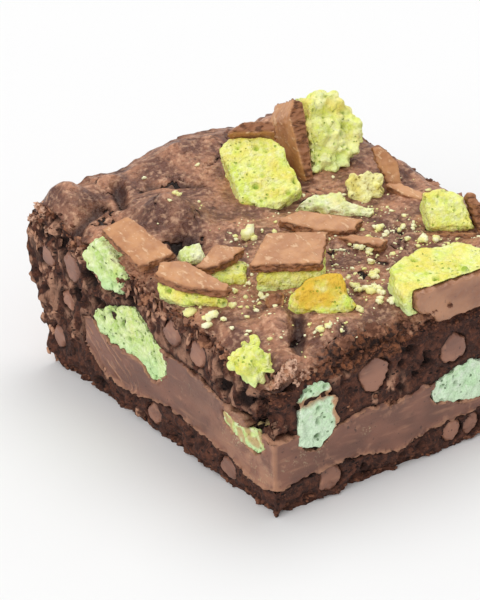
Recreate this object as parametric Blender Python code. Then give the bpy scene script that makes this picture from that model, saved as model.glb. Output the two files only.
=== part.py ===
# Square of chocolate brownie from the edge of a tray: a soft crumb under a thin
# crust, a milk chocolate layer, aerated mint pieces, chocolate chips and crumbs.
# +X runs along the front cut, +Y along the left cut to the baked edge, +Z up.
# Sizes are in millimetres and turns in degrees; each mesh is written in metres.

import math
from collections import namedtuple

import bmesh
import bpy
from mathutils import Euler, Matrix, Vector, noise

MM = 0.001
GAP = 0.3

# The square and the heights of its top at the four corners
WIDTH = 70.0
LENGTH = 80.0
FRONT_LEFT_HEIGHT = 29.5
FRONT_RIGHT_HEIGHT = 32.0
BACK_LEFT_HEIGHT = 36.0
BACK_RIGHT_HEIGHT = 38.0
LEFT_WALL = -WIDTH / 2
RIGHT_WALL = WIDTH / 2
FRONT_WALL = -LENGTH / 2
BACK_WALL = LENGTH / 2

# Cells of the crumb block along X, Y and Z
CELLS_ACROSS = 19
CELLS_ALONG = 21
CELLS_UP = 7
LOWER_LEVELS = 1.15

# Raised lumps and sunken hollows of the crust: x, y, radius, height
Mound = namedtuple("Mound", "x y radius height")
MOUNDS = (
    Mound(-18.8, 17.0, 12.5, 2.7),
    Mound(-18.2, 16.6, 8.5, 2.5),
    Mound(-30.0, 34.5, 8.5, 2.6),
    Mound(-20.0, 42.0, 9.0, 2.2),
    Mound(4.0, 43.0, 22.0, 3.6),
    Mound(-3.0, 37.0, 7.0, 1.0),
    Mound(25.0, 38.0, 10.0, 1.6),
    Mound(-16.0, -34.0, 7.0, 1.8),
    Mound(-24.0, -26.0, 6.0, 1.2),
    Mound(24.0, -30.0, 9.0, 1.5),
    Mound(-21.5, 6.5, 6.0, -3.0),
    Mound(-34.0, -40.0, 7.0, -2.2),
    Mound(-28.0, 22.5, 5.5, -1.4),
    Mound(4.0, 8.0, 6.0, -1.0),
)

# Creases in the crust: start, end, width, depth
Crease = namedtuple("Crease", "start end width depth")
CREASES = (
    Crease((-35.0, 25.5), (-25.0, 29.0), 2.4, 2.2),
    Crease((-18.5, 33.5), (-23.0, 26.0), 2.2, 1.8),
    Crease((-14.0, 29.5), (-5.0, 24.5), 1.8, 1.0),
    Crease((-20.0, -27.0), (-26.0, -36.0), 2.0, 1.3),
)

# Light ripple of the crust and the rounding of its edges: amounts, and how far in they reach
RIPPLE = 0.9
RIPPLE_LENGTH = 7.0
CRUST_ROUNDING = 1.8
CRUST_ROUNDING_REACH = 3.5
BACK_ROUNDING = 2.4
BACK_ROUNDING_REACH = 5.0

# Cut walls: crags as (length along the wall, length up it, share), a foot and a shoulder drawn in
CRAG = 1.1
COARSE_CRAG = (6.5, 5.0, 1.0)
FINE_CRAG = (3.1, 2.7, 0.6)
FOOT_INSET = 1.3
FOOT_RISE = 4.0
SHOULDER_INSET = 0.8
SHOULDER_DROP = 3.0

# Baked edge: drawn in at the foot, full at a share of its height, drawn in again at the top
BACK_FOOT = -3.4
BACK_BULGE = 3.4
BACK_FULL_AT = 0.75
BACK_TOP_INSET = 1.6
BACK_TOP_FROM = 0.8
BACK_CRAG_SHARE = 0.7

# Crumbled front left corner
BITE = 2.2
BITE_RADIUS = 7.0
BITE_FROM = 0.55
BITE_RISE = 0.35

# Milk chocolate layer: heights of its two faces where each cut shows them
LAYER_BOTTOM_ON_LEFT = ((-40, 6.2), (-32, 5.2), (-24, 8.0), (-5, 8.7), (8, 6.2), (14, 6.2), (24, 11.0))
LAYER_TOP_ON_LEFT = ((-40, 16.0), (-26, 17.4), (-14, 20.0), (-7, 20.6), (2, 18.0), (17, 17.0), (24, 16.0))
LAYER_BOTTOM_ON_FRONT = ((-35, 6.2), (-19, 7.9), (-6, 4.4), (0, 6.4), (14, 6.8), (35, 8.0))
LAYER_TOP_ON_FRONT = (
    (-35, 16.0), (-20, 13.6), (-13, 16.2), (-9, 12.2), (-5, 16.2), (3, 15.5), (18, 14.5), (35, 15.0))
LAYER_MIDDLE_BOTTOM = 7.5
LAYER_MIDDLE_TOP = 15.5
LAYER_FADE = 14.0
LAYER_END = 23.0
LAYER_PROUD = 0.2
LAYER_WANDER = 3.0
LAYER_WANDER_LENGTH = 12.0
LAYER_WANDER_FROM = 10.0
SLOT_REACH = 5.0
LAYER_CELLS_ACROSS = 10
LAYER_CELLS_ALONG = 9

# Each face piece or topping lies in a frame of its own: local Z points out of the face that shows.
# A slab fills its outline from top down to bottom along that Z.
Slab = namedtuple("Slab", "name kind top bottom outline")
Frame = namedtuple("Frame", "at turn slabs")
FACING = -35.0
ON_LEFT = (90.0, 0.0, -90.0)
ON_FRONT = (90.0, 0.0, 0.0)
ON_RIGHT = (90.0, 0.0, 90.0)
PROUD = 1.1
COAT = 2.0
UNDER_COAT = -COAT - GAP
COAT_BEVEL = 0.25
MINT_BEVEL = 0.7
LONGEST_MINT_EDGE = 8.0
MINT_ROUGHNESS = 1.2
MINT_LUMP = 2.3
ROUGH_BELOW = 1.5
ROUGH_UPWARD = 0.35

TOPPINGS = (
    Frame((2.5, 15.5, 40.0), (38.0, 0.0, FACING), (
        Slab("centre_tile_coat", "coat", 1.0, -3.0, (
            (-6, 7.6), (3.6, 7.6), (3.2, 10.2), (-3, 10))),
        Slab("centre_tile_mint", "mint", 0.0, -8.0, (
            (-7.5, 5.5), (-5, 7.2), (3.2, 7.2), (5.4, 4), (9, -5), (4.5, -8.5), (-0.5, -9), (-4.5, -6.5))),
    )),
    Frame((20.0, 16.5, 43.0), (62.0, 0.0, -8.0), (
        Slab("back_tile_coat", "coat", 0.6, -9.0, (
            (-7.4, 4.5), (-5.2, 7.8), (-3.6, 6.5), (-5.2, -9.5), (-7.2, -9))),
        Slab("back_tile_mint", "mint", 0.0, -9.0, (
            (-3.2, 6.5), (0, 8), (5, 7.4), (8.6, 1.5), (7.6, -4.5), (3, -8), (-3, -9.5), (-4.8, -8))),
    )),
    Frame((18.0, 1.5, 37.0), (45.0, 0.0, FACING), (
        Slab("crumbly_mint", "mint", 0.0, -5.0, (
            (-4, 1.5), (-2.5, 3), (4.5, 3), (4, -1), (0.5, -4), (-3, -3.5))),
    )),
    Frame((2.5, -5.0, 36.0), (12.0, 0.0, FACING), (
        Slab("wedge_coat", "coat", 0.0, -COAT, ((-8.5, 1), (-4, 4), (8, 0.5), (6, -3), (-0.5, -2.8))),
    )),
    Frame((10.0, -1.0, 36.2), (30.0, 0.0, FACING), (
        Slab("wedge_mint", "mint", 0.0, -5.0, (
            (-9, 0.2), (-4.5, 3.5), (-0.5, 3.5), (2, 1), (7, -1.5), (6, -3), (-1, -2))),
    )),
    Frame((6.3, -13.0, 34.6), (6.0, 0.0, FACING), (
        Slab("loose_shard", "coat", 0.0, -COAT, ((-5, 0.4), (-1.5, 1), (5, -1), (3.5, -3), (-1.5, -1.6))),
    )),
    Frame((25.5, 3.5, 38.5), (65.0, 10.0, FACING), (
        Slab("standing_flake", "coat", 0.0, -COAT, (
            (-3.5, 3), (-1.5, 3.6), (2, 1), (3.8, -4), (1.5, -4.5), (-1.5, -0.5))),
    )),
    Frame((25.0, -3.2, 35.6), (20.0, 0.0, FACING), (
        Slab("lying_sliver", "coat", 0.0, -COAT, ((-4, 2), (-1, 2), (3.5, -1), (3, -3), (-1, -1.2))),
    )),
    Frame((23.0, -17.5, 37.5), (50.0, 0.0, FACING), (
        Slab("right_tile_coat", "coat", -0.4, -5.0, (
            (4.2, 3), (5.8, 3), (8.3, -2.5), (8, -6.5), (-4, -6.5), (-4, -5), (6.4, -5), (5.6, -1.5))),
        Slab("right_tile_mint", "mint", 0.0, -7.0, (
            (-4.5, 3), (-0.5, 4), (3.5, 2.6), (5, -1.5), (5.9, -4.5), (-3.5, -4.5))),
    )),
    Frame((6.5, -41.0, 32.6), (90.0, 0.0, -2.0), (
        Slab("edge_tile_coat", "coat", 0.0, -COAT, (
            (-9, 0), (-9, 3.2), (12, 3), (15, -1), (8, -3.4), (-3, -4))),
    )),
    Frame((5.0, -35.0, 36.9), (6.0, 0.0, 0.0), (
        Slab("edge_tile_mint", "mint", 0.0, -5.0, (
            (-9.5, -4.6), (-8.5, -0.5), (-6, 5), (3, 7.3), (11, 4.5), (14.5, -1), (14, -5.4), (-4, -5.4))),
    )),
    Frame((-13.9, -27.1, 34.5), (48.0, 0.0, FACING), (
        Slab("toasted_mint", "mint", 0.0, -5.0, (
            (-6.5, -3), (-5.5, 0.5), (-2, 3.5), (3, 4.5), (4.5, 1), (6.5, -3), (0.5, -4.5))),
    )),
    Frame((-12.0, -15.0, 38.5), (8.0, 0.0, FACING), (
        Slab("square_tile_coat", "coat", 0.0, -COAT, ((-8, -5), (-4.5, 5.5), (7, 5.5), (5.5, -5))),
        Slab("square_tile_mint", "mint", UNDER_COAT, -7.5, ((-7, -5), (-4, 5), (6.5, 5), (5.5, -5))),
    )),
    Frame((-22.5, -6.0, 36.5), (14.0, 0.0, FACING), (
        Slab("bent_tile_coat", "coat", 0.0, -COAT, (
            (-4.4, -3), (-0.5, 4), (5, 2.4), (2.5, -0.6), (-1.5, -3))),
        Slab("bent_tile_mint", "mint", UNDER_COAT, -7.0, (
            (-4, -3.6), (-0.5, 3), (5, 2), (5.5, -3), (1.5, -4.5))),
    )),
    Frame((-24.5, 1.0, 35.0), (35.0, 0.0, FACING), (
        Slab("small_mint", "mint", 0.0, -4.0, (
            (-2.5, 0), (-1, 1.5), (1.5, 3), (3.5, 0), (1.5, -2), (-1.5, -2.5))),
    )),
    Frame((-31.3, -9.1, 36.4), (14.0, -4.0, FACING), (
        Slab("low_tile_coat", "coat", 0.0, -COAT, (
            (-6.5, 1.5), (-5, 5), (-0.5, 4.5), (7.5, -3.5), (6.5, -5), (-1, -2.5))),
        Slab("low_tile_mint", "mint", UNDER_COAT, -6.5, (
            (-6.5, 1), (-5, 4.5), (-0.5, 4), (7, -3.4), (6.5, -5.4), (-1, -3.2))),
    )),
    Frame((-32.0, 8.0, 37.2), (16.0, -10.0, FACING), (
        Slab("left_tile_coat", "coat", 0.0, -COAT, ((-6.5, 5.5), (-1, 8), (7.5, -5), (0.5, -7))),
    )),
    Frame((-35.6, 15.0, 30.0), ON_LEFT, (
        Slab("left_tile_mint", "mint", 0.0, -8.0, (
            (-8, 0), (-4, 4), (-0.5, 5.5), (8, 1.5), (6.5, -3.5), (1.5, -5), (-5, -2.5))),
    )),
    Frame((-35.5, -34.5, 32.0), (55.0, 0.0, FACING), (
        Slab("corner_star_mint", "mint", 0.0, -5.0, (
            (-1.5, 4), (-0.3, 2), (1, 3), (1.8, 0.5), (4, -2),
            (1.5, -4.5), (-1.5, -4), (-4, -1), (-2.2, 1.5))),
    )),
    Frame((-20.6, -21.4, 33.0), (40.0, 0.0, FACING), (
        Slab("small_chip_top", "coat", 0.0, -3.0, (
            (-2, 0.5), (-0.5, 1.4), (1.6, 1.4), (1.4, -1.5), (-1, -2))),
    )),
)

FACE_MINTS = (
    Frame((LEFT_WALL, 5.5, 17.5), ON_LEFT, (
        Slab("filling_mint_left", "green", PROUD, -9.0, (
            (-14.5, 0), (-9.5, 4), (1, 8), (6, 4), (11, 1.5),
            (11.5, -2), (7, -5.2), (2, -3), (-5, -3), (-10.5, -3))),
    )),
    Frame((LEFT_WALL, -31.0, 14.5), ON_LEFT, (
        Slab("filling_mint_corner", "green", PROUD, -4.5, (
            (-7, 2), (-2, 0.8), (5, 2.5), (6.3, -0.5), (4.5, -2.8), (-0.5, -2), (-6, -1))),
    )),
    Frame((-25.0, FRONT_WALL, 18.5), ON_FRONT, (
        Slab("filling_mint_front", "pale_green", PROUD, -7.0, (
            (-4.5, 4), (-2.5, 7), (2.5, 5.2), (3.5, 2), (4, -4), (0.5, -7), (-4, -5.5))),
    )),
    Frame((10.0, FRONT_WALL, 13.8), ON_FRONT, (
        Slab("filling_mint_far", "pale_green", PROUD, -7.0, (
            (-8.5, 1.2), (-3.5, 3), (0.5, 4), (4.5, 2.6), (9, 3),
            (10, -1.5), (6, -4), (-0.5, -3.8), (-8, -1.5))),
    )),
    Frame((RIGHT_WALL, -16.0, 16.5), ON_RIGHT, (
        Slab("filling_mint_side", "pale_green", PROUD, -8.0, (
            (-7, -3), (-8, 2), (-3, 6), (4, 5), (8, 1), (6, -4), (0, -5))),
    )),
    Frame((RIGHT_WALL, 14.0, 17.0), ON_RIGHT, (
        Slab("filling_mint_end", "pale_green", PROUD, -7.0, (
            (-5, -3), (-6, 2), (-1, 5), (5, 3), (6, -2), (1, -5))),
    )),
)

# Chocolate chips that a cut or the baked edge shows: wall, distance along it, height, radius
Chip = namedtuple("Chip", "wall along height radius")
CHIPS = (
    Chip("left", 36.0, 24.5, 2.6),
    Chip("left", 27.0, 25.2, 3.0),
    Chip("left", 33.3, 7.2, 2.4),
    Chip("left", 29.5, 17.0, 2.2),
    Chip("left", -8.0, 25.0, 2.8),
    Chip("left", -16.5, 24.2, 2.6),
    Chip("left", -25.2, 3.9, 2.4),
    Chip("left", -0.6, 4.6, 2.4),
    Chip("front", -12.0, 22.4, 3.3),
    Chip("front", 6.8, 21.4, 3.0),
    Chip("front", -22.3, 4.3, 2.6),
    Chip("front", 6.6, 3.7, 2.2),
    Chip("front", 11.6, 3.7, 2.1),
    Chip("front", 25.0, 22.0, 2.8),
    Chip("right", -2.0, 24.5, 3.0),
    Chip("right", 30.0, 14.0, 2.6),
)
CHIP_SUNK = 1.3
CHIP_FLATTEN = 0.8
CHIP_WIDEN = 1.1
CHIP_UNEVEN = 0.2

# Open pits in the cut faces: wall, distance along it, height, radius
PITS = (
    Chip("left", 34.0, 29.5, 1.8),
    Chip("left", 24.5, 20.5, 1.9),
    Chip("left", -25.0, 21.6, 2.0),
    Chip("left", -31.5, 21.5, 2.2),
    Chip("left", 19.0, 3.2, 1.6),
    Chip("front", -31.0, 26.5, 1.8),
    Chip("front", -4.0, 25.0, 1.9),
    Chip("front", 0.5, 20.5, 1.6),
    Chip("front", 18.5, 24.0, 1.8),
    Chip("right", 9.0, 26.5, 1.9),
)
PIT_SUNK = 0.2
PIT_FLATTEN = 0.8

# Flakes of broken crust along the cut edges: x, y, height of the centre, radius
Flake = namedtuple("Flake", "x y z radius")
FLAKES = (
    Flake(-30.8, -39.4, 30.2, 2.3),
    Flake(-28.6, -39.8, 27.8, 2.0),
    Flake(-32.8, -38.8, 27.6, 2.0),
    Flake(-34.6, -36.4, 25.8, 2.0),
    Flake(-18.0, -39.8, 32.4, 2.6),
    Flake(-12.5, -39.8, 32.2, 2.2),
    Flake(-34.4, 0.5, 29.4, 2.2),
    Flake(-34.6, 25.5, 31.0, 2.2),
    Flake(-34.6, -19.0, 28.2, 2.0),
    Flake(-34.6, -27.0, 27.5, 2.0),
    Flake(23.0, -39.6, 31.0, 2.2),
    Flake(34.6, 20.0, 33.0, 2.2),
    Flake(34.6, -6.0, 31.6, 2.1),
)
FLAKE_FLATTEN = 0.7

# Mint crumbs on the crust, thickest over its front half: x, y, radius
Crumb = namedtuple("Crumb", "x y radius")
CRUMBS = (
    Crumb(-10.0, 2.0, 1.6),
    Crumb(-33.0, -17.5, 1.2),
    Crumb(-31.0, -19.5, 0.7),
    Crumb(-20.0, -34.0, 0.9),
    Crumb(-4.5, -24.5, 0.9),
    Crumb(-4.0, -28.0, 1.0),
    Crumb(-4.5, -32.0, 0.9),
    Crumb(0.5, -23.5, 1.0),
    Crumb(3.0, -20.0, 0.9),
    Crumb(12.5, -10.0, 1.0),
    Crumb(12.0, -13.0, 0.8),
    Crumb(15.5, -13.5, 0.8),
    Crumb(18.5, -13.5, 0.7),
    Crumb(13.5, -17.5, 0.7),
    Crumb(-23.5, -12.5, 0.7),
    Crumb(14.0, -20.5, 0.6),
    Crumb(1.5, -12.5, 0.6),
    Crumb(-27.0, -21.0, 0.6),
    Crumb(-31.5, -23.0, 0.6),
    Crumb(-29.5, -25.5, 0.6),
    Crumb(18.0, -29.0, 0.6),
    Crumb(-14.5, -35.0, 0.5),
    Crumb(20.0, -23.5, 0.5),
    Crumb(-6.5, 2.0, 0.5),
    Crumb(-2.5, 3.0, 0.5),
    Crumb(-21.0, -14.5, 0.5),
    Crumb(-16.5, -36.5, 0.5),
    Crumb(-16.0, 17.0, 0.7),
    Crumb(-19.0, 15.0, 0.5),
    Crumb(-13.0, 33.0, 0.6),
)
CRUMB_SUNK = 0.25
CRUMB_FLATTEN = 0.75
BALL_UNEVEN = 0.35

# Colours, with roughness
COLOURS = {
    "crumb": ((0.085, 0.038, 0.028, 1.0), 0.85),
    "layer": ((0.21, 0.115, 0.085, 1.0), 0.42),
    "coat": ((0.42, 0.205, 0.12, 1.0), 0.5),
    "mint": ((0.69, 0.87, 0.23, 1.0), 0.8),
    "green": ((0.5, 0.74, 0.22, 1.0), 0.8),
    "pale_green": ((0.56, 0.8, 0.55, 1.0), 0.8),
}


def smooth(value):
    """Ease from 0 to 1 while the value runs from 0 to 1."""
    value = min(max(value, 0.0), 1.0)
    return value * value * (3.0 - 2.0 * value)


def mix(first, second, share):
    return first + (second - first) * share


def along_profile(profile, place):
    """Height of a profile of (place, height) pairs, eased between its points."""
    if place <= profile[0][0]:
        return profile[0][1]
    for (start, low), (end, high) in zip(profile, profile[1:]):
        if place <= end:
            return mix(low, high, smooth((place - start) / (end - start)))
    return profile[-1][1]


def distance_to_line(x, y, start, end):
    point = Vector((x, y))
    first = Vector(start)
    run = Vector(end) - first
    share = min(max((point - first).dot(run) / run.length_squared, 0.0), 1.0)
    return (point - first - run * share).length


def crust_height(x, y):
    """Height of the crust, from its corners, mounds, creases and a light ripple."""
    across = x / WIDTH + 0.5
    along = y / LENGTH + 0.5
    front = mix(FRONT_LEFT_HEIGHT, FRONT_RIGHT_HEIGHT, across)
    back = mix(BACK_LEFT_HEIGHT, BACK_RIGHT_HEIGHT, across)
    height = mix(front, back, along)
    for mound in MOUNDS:
        distance = math.hypot(x - mound.x, y - mound.y)
        height += mound.height * smooth(1.0 - distance / mound.radius)
    for crease in CREASES:
        distance = distance_to_line(x, y, crease.start, crease.end)
        height -= crease.depth * smooth(1.0 - distance / crease.width)
    height += RIPPLE * noise.noise(Vector((x / RIPPLE_LENGTH, y / RIPPLE_LENGTH, 3.0)))
    wall_distance = min(x - LEFT_WALL, RIGHT_WALL - x, y - FRONT_WALL)
    height -= CRUST_ROUNDING * smooth(1.0 - wall_distance / CRUST_ROUNDING_REACH)
    height -= BACK_ROUNDING * smooth(1.0 - (BACK_WALL - y) / BACK_ROUNDING_REACH)
    return height


def crag(place, height, seed):
    """How far a cut face stands out, coarse and fine lumps together."""
    total = 0.0
    for along, up, share in (COARSE_CRAG, FINE_CRAG):
        total += share * noise.noise(Vector((place / along, height / up, seed)))
        seed += 20.0
    return CRAG * total


def wall_shift(place, height, top, seed):
    """Shift of a cut wall: crags, a foot drawn in and a crust edge rounded over."""
    foot = FOOT_INSET * smooth(1.0 - height / FOOT_RISE)
    shoulder = SHOULDER_INSET * smooth(1.0 - (top - height) / SHOULDER_DROP)
    return crag(place, height, seed) - foot - shoulder


def back_shift(place, height, top):
    """Shift of the baked edge: drawn in at the foot, full higher up, rounded at the top."""
    share = height / top
    swell = mix(BACK_FOOT, BACK_BULGE, smooth(share / BACK_FULL_AT))
    drawn_in = BACK_TOP_INSET * smooth((share - BACK_TOP_FROM) / (1.0 - BACK_TOP_FROM))
    return swell - drawn_in + BACK_CRAG_SHARE * crag(place, height, 5.0)


def corner_bite(x, y, share):
    """Crumbled front left corner: how far both walls draw in near its top."""
    distance = math.hypot(x - LEFT_WALL, y - FRONT_WALL)
    return BITE * smooth(1.0 - distance / BITE_RADIUS) * smooth((share - BITE_FROM) / BITE_RISE)


def grid_block(cells):
    """Unit cube from 0 to 1 with its faces cut into the given cells along X, Y and Z."""
    block = bmesh.new()
    bmesh.ops.create_cube(block, size=1.0, matrix=Matrix.Translation((0.5, 0.5, 0.5)))
    for axis, count in enumerate(cells):
        if count > 1:
            edges = [
                edge for edge in block.edges
                if abs(edge.verts[0].co[axis] - edge.verts[1].co[axis]) > 0.5
            ]
            bmesh.ops.subdivide_edges(block, edges=edges, cuts=count - 1, use_grid_fill=True)
    return block


def body_point(share):
    """Place of a point of the crumb block, from its shares of width, length and height."""
    x = mix(LEFT_WALL, RIGHT_WALL, share.x)
    y = mix(FRONT_WALL, BACK_WALL, share.y)
    top = crust_height(x, y)
    rise = share.z ** LOWER_LEVELS
    z = rise * top
    bite = corner_bite(x, y, rise)
    point = Vector((x, y, z))
    if share.x < 0.001:
        point.x -= wall_shift(y, z, top, 1.0) - bite
    elif share.x > 0.999:
        point.x += wall_shift(y, z, top, 2.0)
    if share.y < 0.001:
        point.y -= wall_shift(x, z, top, 3.0) - bite
    else:
        point.y += back_shift(x, z, top) * smooth((share.y - 0.8) / 0.2)
    return point


def new_object(name, mesh, colour, collection):
    item = bpy.data.objects.new(name, mesh)
    collection.objects.link(item)
    mesh.materials.append(colour)
    return item


def finish_mesh(shape, name):
    """Turn a bmesh in millimetres into a mesh in metres with its faces pointing out."""
    bmesh.ops.recalc_face_normals(shape, faces=shape.faces)
    bmesh.ops.scale(shape, vec=(MM, MM, MM), verts=shape.verts)
    mesh = bpy.data.meshes.new(name)
    shape.to_mesh(mesh)
    shape.free()
    return mesh


def make_material(name):
    colour, roughness = COLOURS[name]
    material = bpy.data.materials.new(name)
    material.diffuse_color = colour
    material.use_nodes = True
    shader = material.node_tree.nodes["Principled BSDF"]
    shader.inputs["Base Color"].default_value = colour
    shader.inputs["Roughness"].default_value = roughness
    shader.inputs["Metallic"].default_value = 0.0
    return material


def crumb_block_mesh():
    shape = grid_block((CELLS_ACROSS, CELLS_ALONG, CELLS_UP))
    for vert in shape.verts:
        vert.co = body_point(vert.co)
    underside = [face for face in shape.faces if max(vert.co.z for vert in face.verts) < 0.001]
    bmesh.ops.dissolve_faces(shape, faces=underside)
    return finish_mesh(shape, "brownie")


def layer_height(x, y, on_left, on_front, middle):
    """Height of one face of the layer: as each cut shows it, easing to the middle height inside."""
    corner = along_profile(on_front, x) if y <= FRONT_WALL else along_profile(on_left, FRONT_WALL)
    from_left = math.exp(-(x - LEFT_WALL) / LAYER_FADE)
    from_front = math.exp(-(y - FRONT_WALL) / LAYER_FADE)
    left = (along_profile(on_left, y) - middle) * from_left
    front = (along_profile(on_front, x) - middle) * from_front
    both = (corner - middle) * from_left * from_front
    return middle + left + front - both


def evenly(first, last, cells):
    """Places of the grid lines between two ends."""
    return [mix(first, last, index / cells) for index in range(cells + 1)]


def layer_mesh(name, grow=0.0, reach=0.0):
    """Milk chocolate layer. Its slot is grown by a gap and drawn out past the three cuts."""
    columns = evenly(LEFT_WALL - LAYER_PROUD, RIGHT_WALL + LAYER_PROUD, LAYER_CELLS_ACROSS)
    rows = evenly(FRONT_WALL - LAYER_PROUD, LAYER_END, LAYER_CELLS_ALONG)
    outer_columns = columns
    outer_rows = rows
    if reach:
        outer_columns = [columns[0] - reach] + columns + [columns[-1] + reach]
        outer_rows = [rows[0] - reach] + rows
    shape = grid_block((len(outer_columns) - 1, len(outer_rows) - 1, 1))
    for vert in shape.verts:
        column = round(vert.co.x * (len(outer_columns) - 1))
        row = round(vert.co.y * (len(outer_rows) - 1))
        x = min(max(outer_columns[column], columns[0]), columns[-1])
        y = max(outer_rows[row], rows[0])
        if vert.co.z < 0.5:
            z = layer_height(x, y, LAYER_BOTTOM_ON_LEFT, LAYER_BOTTOM_ON_FRONT, LAYER_MIDDLE_BOTTOM) - grow
        else:
            z = layer_height(x, y, LAYER_TOP_ON_LEFT, LAYER_TOP_ON_FRONT, LAYER_MIDDLE_TOP) + grow
        end = grow if row == len(outer_rows) - 1 else 0.0
        inner = smooth((y - LAYER_WANDER_FROM) / (LAYER_END - LAYER_WANDER_FROM))
        wander = LAYER_WANDER * noise.noise(Vector((x / LAYER_WANDER_LENGTH, 0.0, 7.0))) * inner
        vert.co = (outer_columns[column], outer_rows[row] + wander + end, z)
    bmesh.ops.triangulate(shape, faces=shape.faces, quad_method="FIXED")
    return finish_mesh(shape, name)


def slab_shape(slab, frame):
    """One slab: its outline drawn down from top to bottom, edges broken, placed in its frame."""
    shape = bmesh.new()
    bmesh.ops.create_circle(shape, cap_ends=True, segments=len(slab.outline), radius=1.0)
    for vert, (x, y) in zip(shape.verts, slab.outline):
        vert.co = (x, y, slab.top)
    drawn = bmesh.ops.extrude_face_region(shape, geom=shape.faces[:])
    lower = [item for item in drawn["geom"] if isinstance(item, bmesh.types.BMVert)]
    bmesh.ops.translate(shape, vec=(0.0, 0.0, slab.bottom - slab.top), verts=lower)
    bmesh.ops.recalc_face_normals(shape, faces=shape.faces)
    width = COAT_BEVEL if slab.kind == "coat" else MINT_BEVEL
    upper = [edge for edge in shape.edges if max(vert.co.z for vert in edge.verts) > slab.bottom + 0.1]
    bmesh.ops.bevel(shape, geom=upper, offset=width, segments=1, affect="EDGES", clamp_overlap=True)
    bmesh.ops.remove_doubles(shape, verts=shape.verts, dist=0.02)
    bmesh.ops.triangulate(shape, faces=shape.faces)
    if slab.kind != "coat":
        roughen(shape, slab)
    turn = Euler([math.radians(angle) for angle in frame.turn]).to_matrix().to_4x4()
    bmesh.ops.transform(shape, matrix=Matrix.Translation(frame.at) @ turn, verts=shape.verts)
    return shape


def roughen(shape, slab):
    """Broken mint: long edges split and the points below the top skin moved a little."""
    long_edges = [edge for edge in shape.edges if edge.calc_length() > LONGEST_MINT_EDGE]
    bmesh.ops.subdivide_edges(shape, edges=long_edges, cuts=1)
    bmesh.ops.triangulate(shape, faces=shape.faces)
    seed = sum(ord(letter) for letter in slab.name)
    skin = slab.top if slab.top < 0.0 else slab.top + 1.0
    for vert in shape.verts:
        depth = min((skin - vert.co.z) / ROUGH_BELOW, 1.0)
        push = MINT_ROUGHNESS * noise.noise(vert.co / MINT_LUMP + Vector((seed, 0.0, 0.0))) * max(depth, 0.0)
        vert.co += Vector((vert.normal.x, vert.normal.y, ROUGH_UPWARD * vert.normal.z)) * push


def grown(shape, amount):
    """Copy of a closed shape with every face moved out by the amount."""
    wider = shape.copy()
    bmesh.ops.recalc_face_normals(wider, faces=wider.faces)
    wider.normal_update()
    moved = [vert.co + vert.normal * amount * min(vert.calc_shell_factor(), 2.0) for vert in wider.verts]
    for vert, place in zip(wider.verts, moved):
        vert.co = place
    return wider


def ball_shape(centre, radius, squash, seed, level):
    """Uneven ball, squashed along its third axis."""
    shape = bmesh.new()
    bmesh.ops.create_icosphere(shape, subdivisions=level, radius=radius)
    for vert in shape.verts:
        swell = 1.0 + BALL_UNEVEN * noise.noise(vert.co / radius + Vector((seed, seed, 0.0)))
        vert.co = Vector((vert.co.x, vert.co.y, vert.co.z * squash)) * swell
    bmesh.ops.translate(shape, vec=centre, verts=shape.verts)
    return shape


def wall_point(wall, along, height, depth):
    """Point on a cut wall, the given depth behind it."""
    if wall == "left":
        return Vector((LEFT_WALL + depth, along, height))
    if wall == "right":
        return Vector((RIGHT_WALL - depth, along, height))
    return Vector((along, FRONT_WALL + depth, height))


def chip_shape(chip, seed):
    """Chocolate chip cut by the knife: a ball flattened towards the wall that shows it."""
    shape = bmesh.new()
    bmesh.ops.create_uvsphere(shape, u_segments=7, v_segments=5, radius=chip.radius)
    stretch = (CHIP_WIDEN, CHIP_FLATTEN, 1.0) if chip.wall == "front" else (CHIP_FLATTEN, CHIP_WIDEN, 1.0)
    for vert in shape.verts:
        swell = 1.0 + CHIP_UNEVEN * noise.noise(vert.co / chip.radius + Vector((seed, 0.0, seed)))
        vert.co = Vector([part * factor for part, factor in zip(vert.co, stretch)]) * swell
    bmesh.ops.translate(
        shape, vec=wall_point(chip.wall, chip.along, chip.height, CHIP_SUNK), verts=shape.verts)
    return shape


def as_cutter(item):
    item.hide_render = True
    item.display_type = "WIRE"
    return item


def add_boolean(item, operation, cutter=None, group=None, solver="EXACT"):
    boolean = item.modifiers.new("Boolean", "BOOLEAN")
    boolean.operation = operation
    boolean.solver = solver
    if group:
        boolean.operand_type = "COLLECTION"
        boolean.collection = group
    else:
        boolean.object = cutter
    return boolean


def apply_modifiers(item):
    bpy.context.view_layer.objects.active = item
    for modifier in item.modifiers[:]:
        bpy.ops.object.modifier_apply(modifier=modifier.name)


def face_bodies(shape):
    """Groups of faces that hang together across edges shared by two faces."""
    left = set(shape.faces)
    bodies = []
    while left:
        body = [left.pop()]
        for face in body:
            sides = [edge for edge in face.edges if len(edge.link_faces) == 2]
            beside = {other for edge in sides for other in edge.link_faces} & left
            left -= beside
            body.extend(beside)
        bodies.append(body)
    return sorted(bodies, key=len)


def keep_largest_body(item):
    """Drop the scraps that a cut has left beside the main body."""
    shape = bmesh.new()
    shape.from_mesh(item.data)
    bmesh.ops.triangulate(shape, faces=shape.faces)
    scraps = [face for body in face_bodies(shape)[:-1] for face in body]
    bmesh.ops.delete(shape, geom=scraps, context="FACES")
    shape.to_mesh(item.data)
    shape.free()


def add_pieces(frames, parts, cutters, materials):
    """Make each slab as a node, and its grown copy as a cutter."""
    for frame in frames:
        for slab in frame.slabs:
            shape = slab_shape(slab, frame)
            wider = finish_mesh(grown(shape, GAP), slab.name + "_pocket")
            new_object(slab.name, finish_mesh(shape, slab.name), materials[slab.kind], parts)
            as_cutter(new_object(slab.name + "_pocket", wider, materials[slab.kind], cutters))


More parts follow.
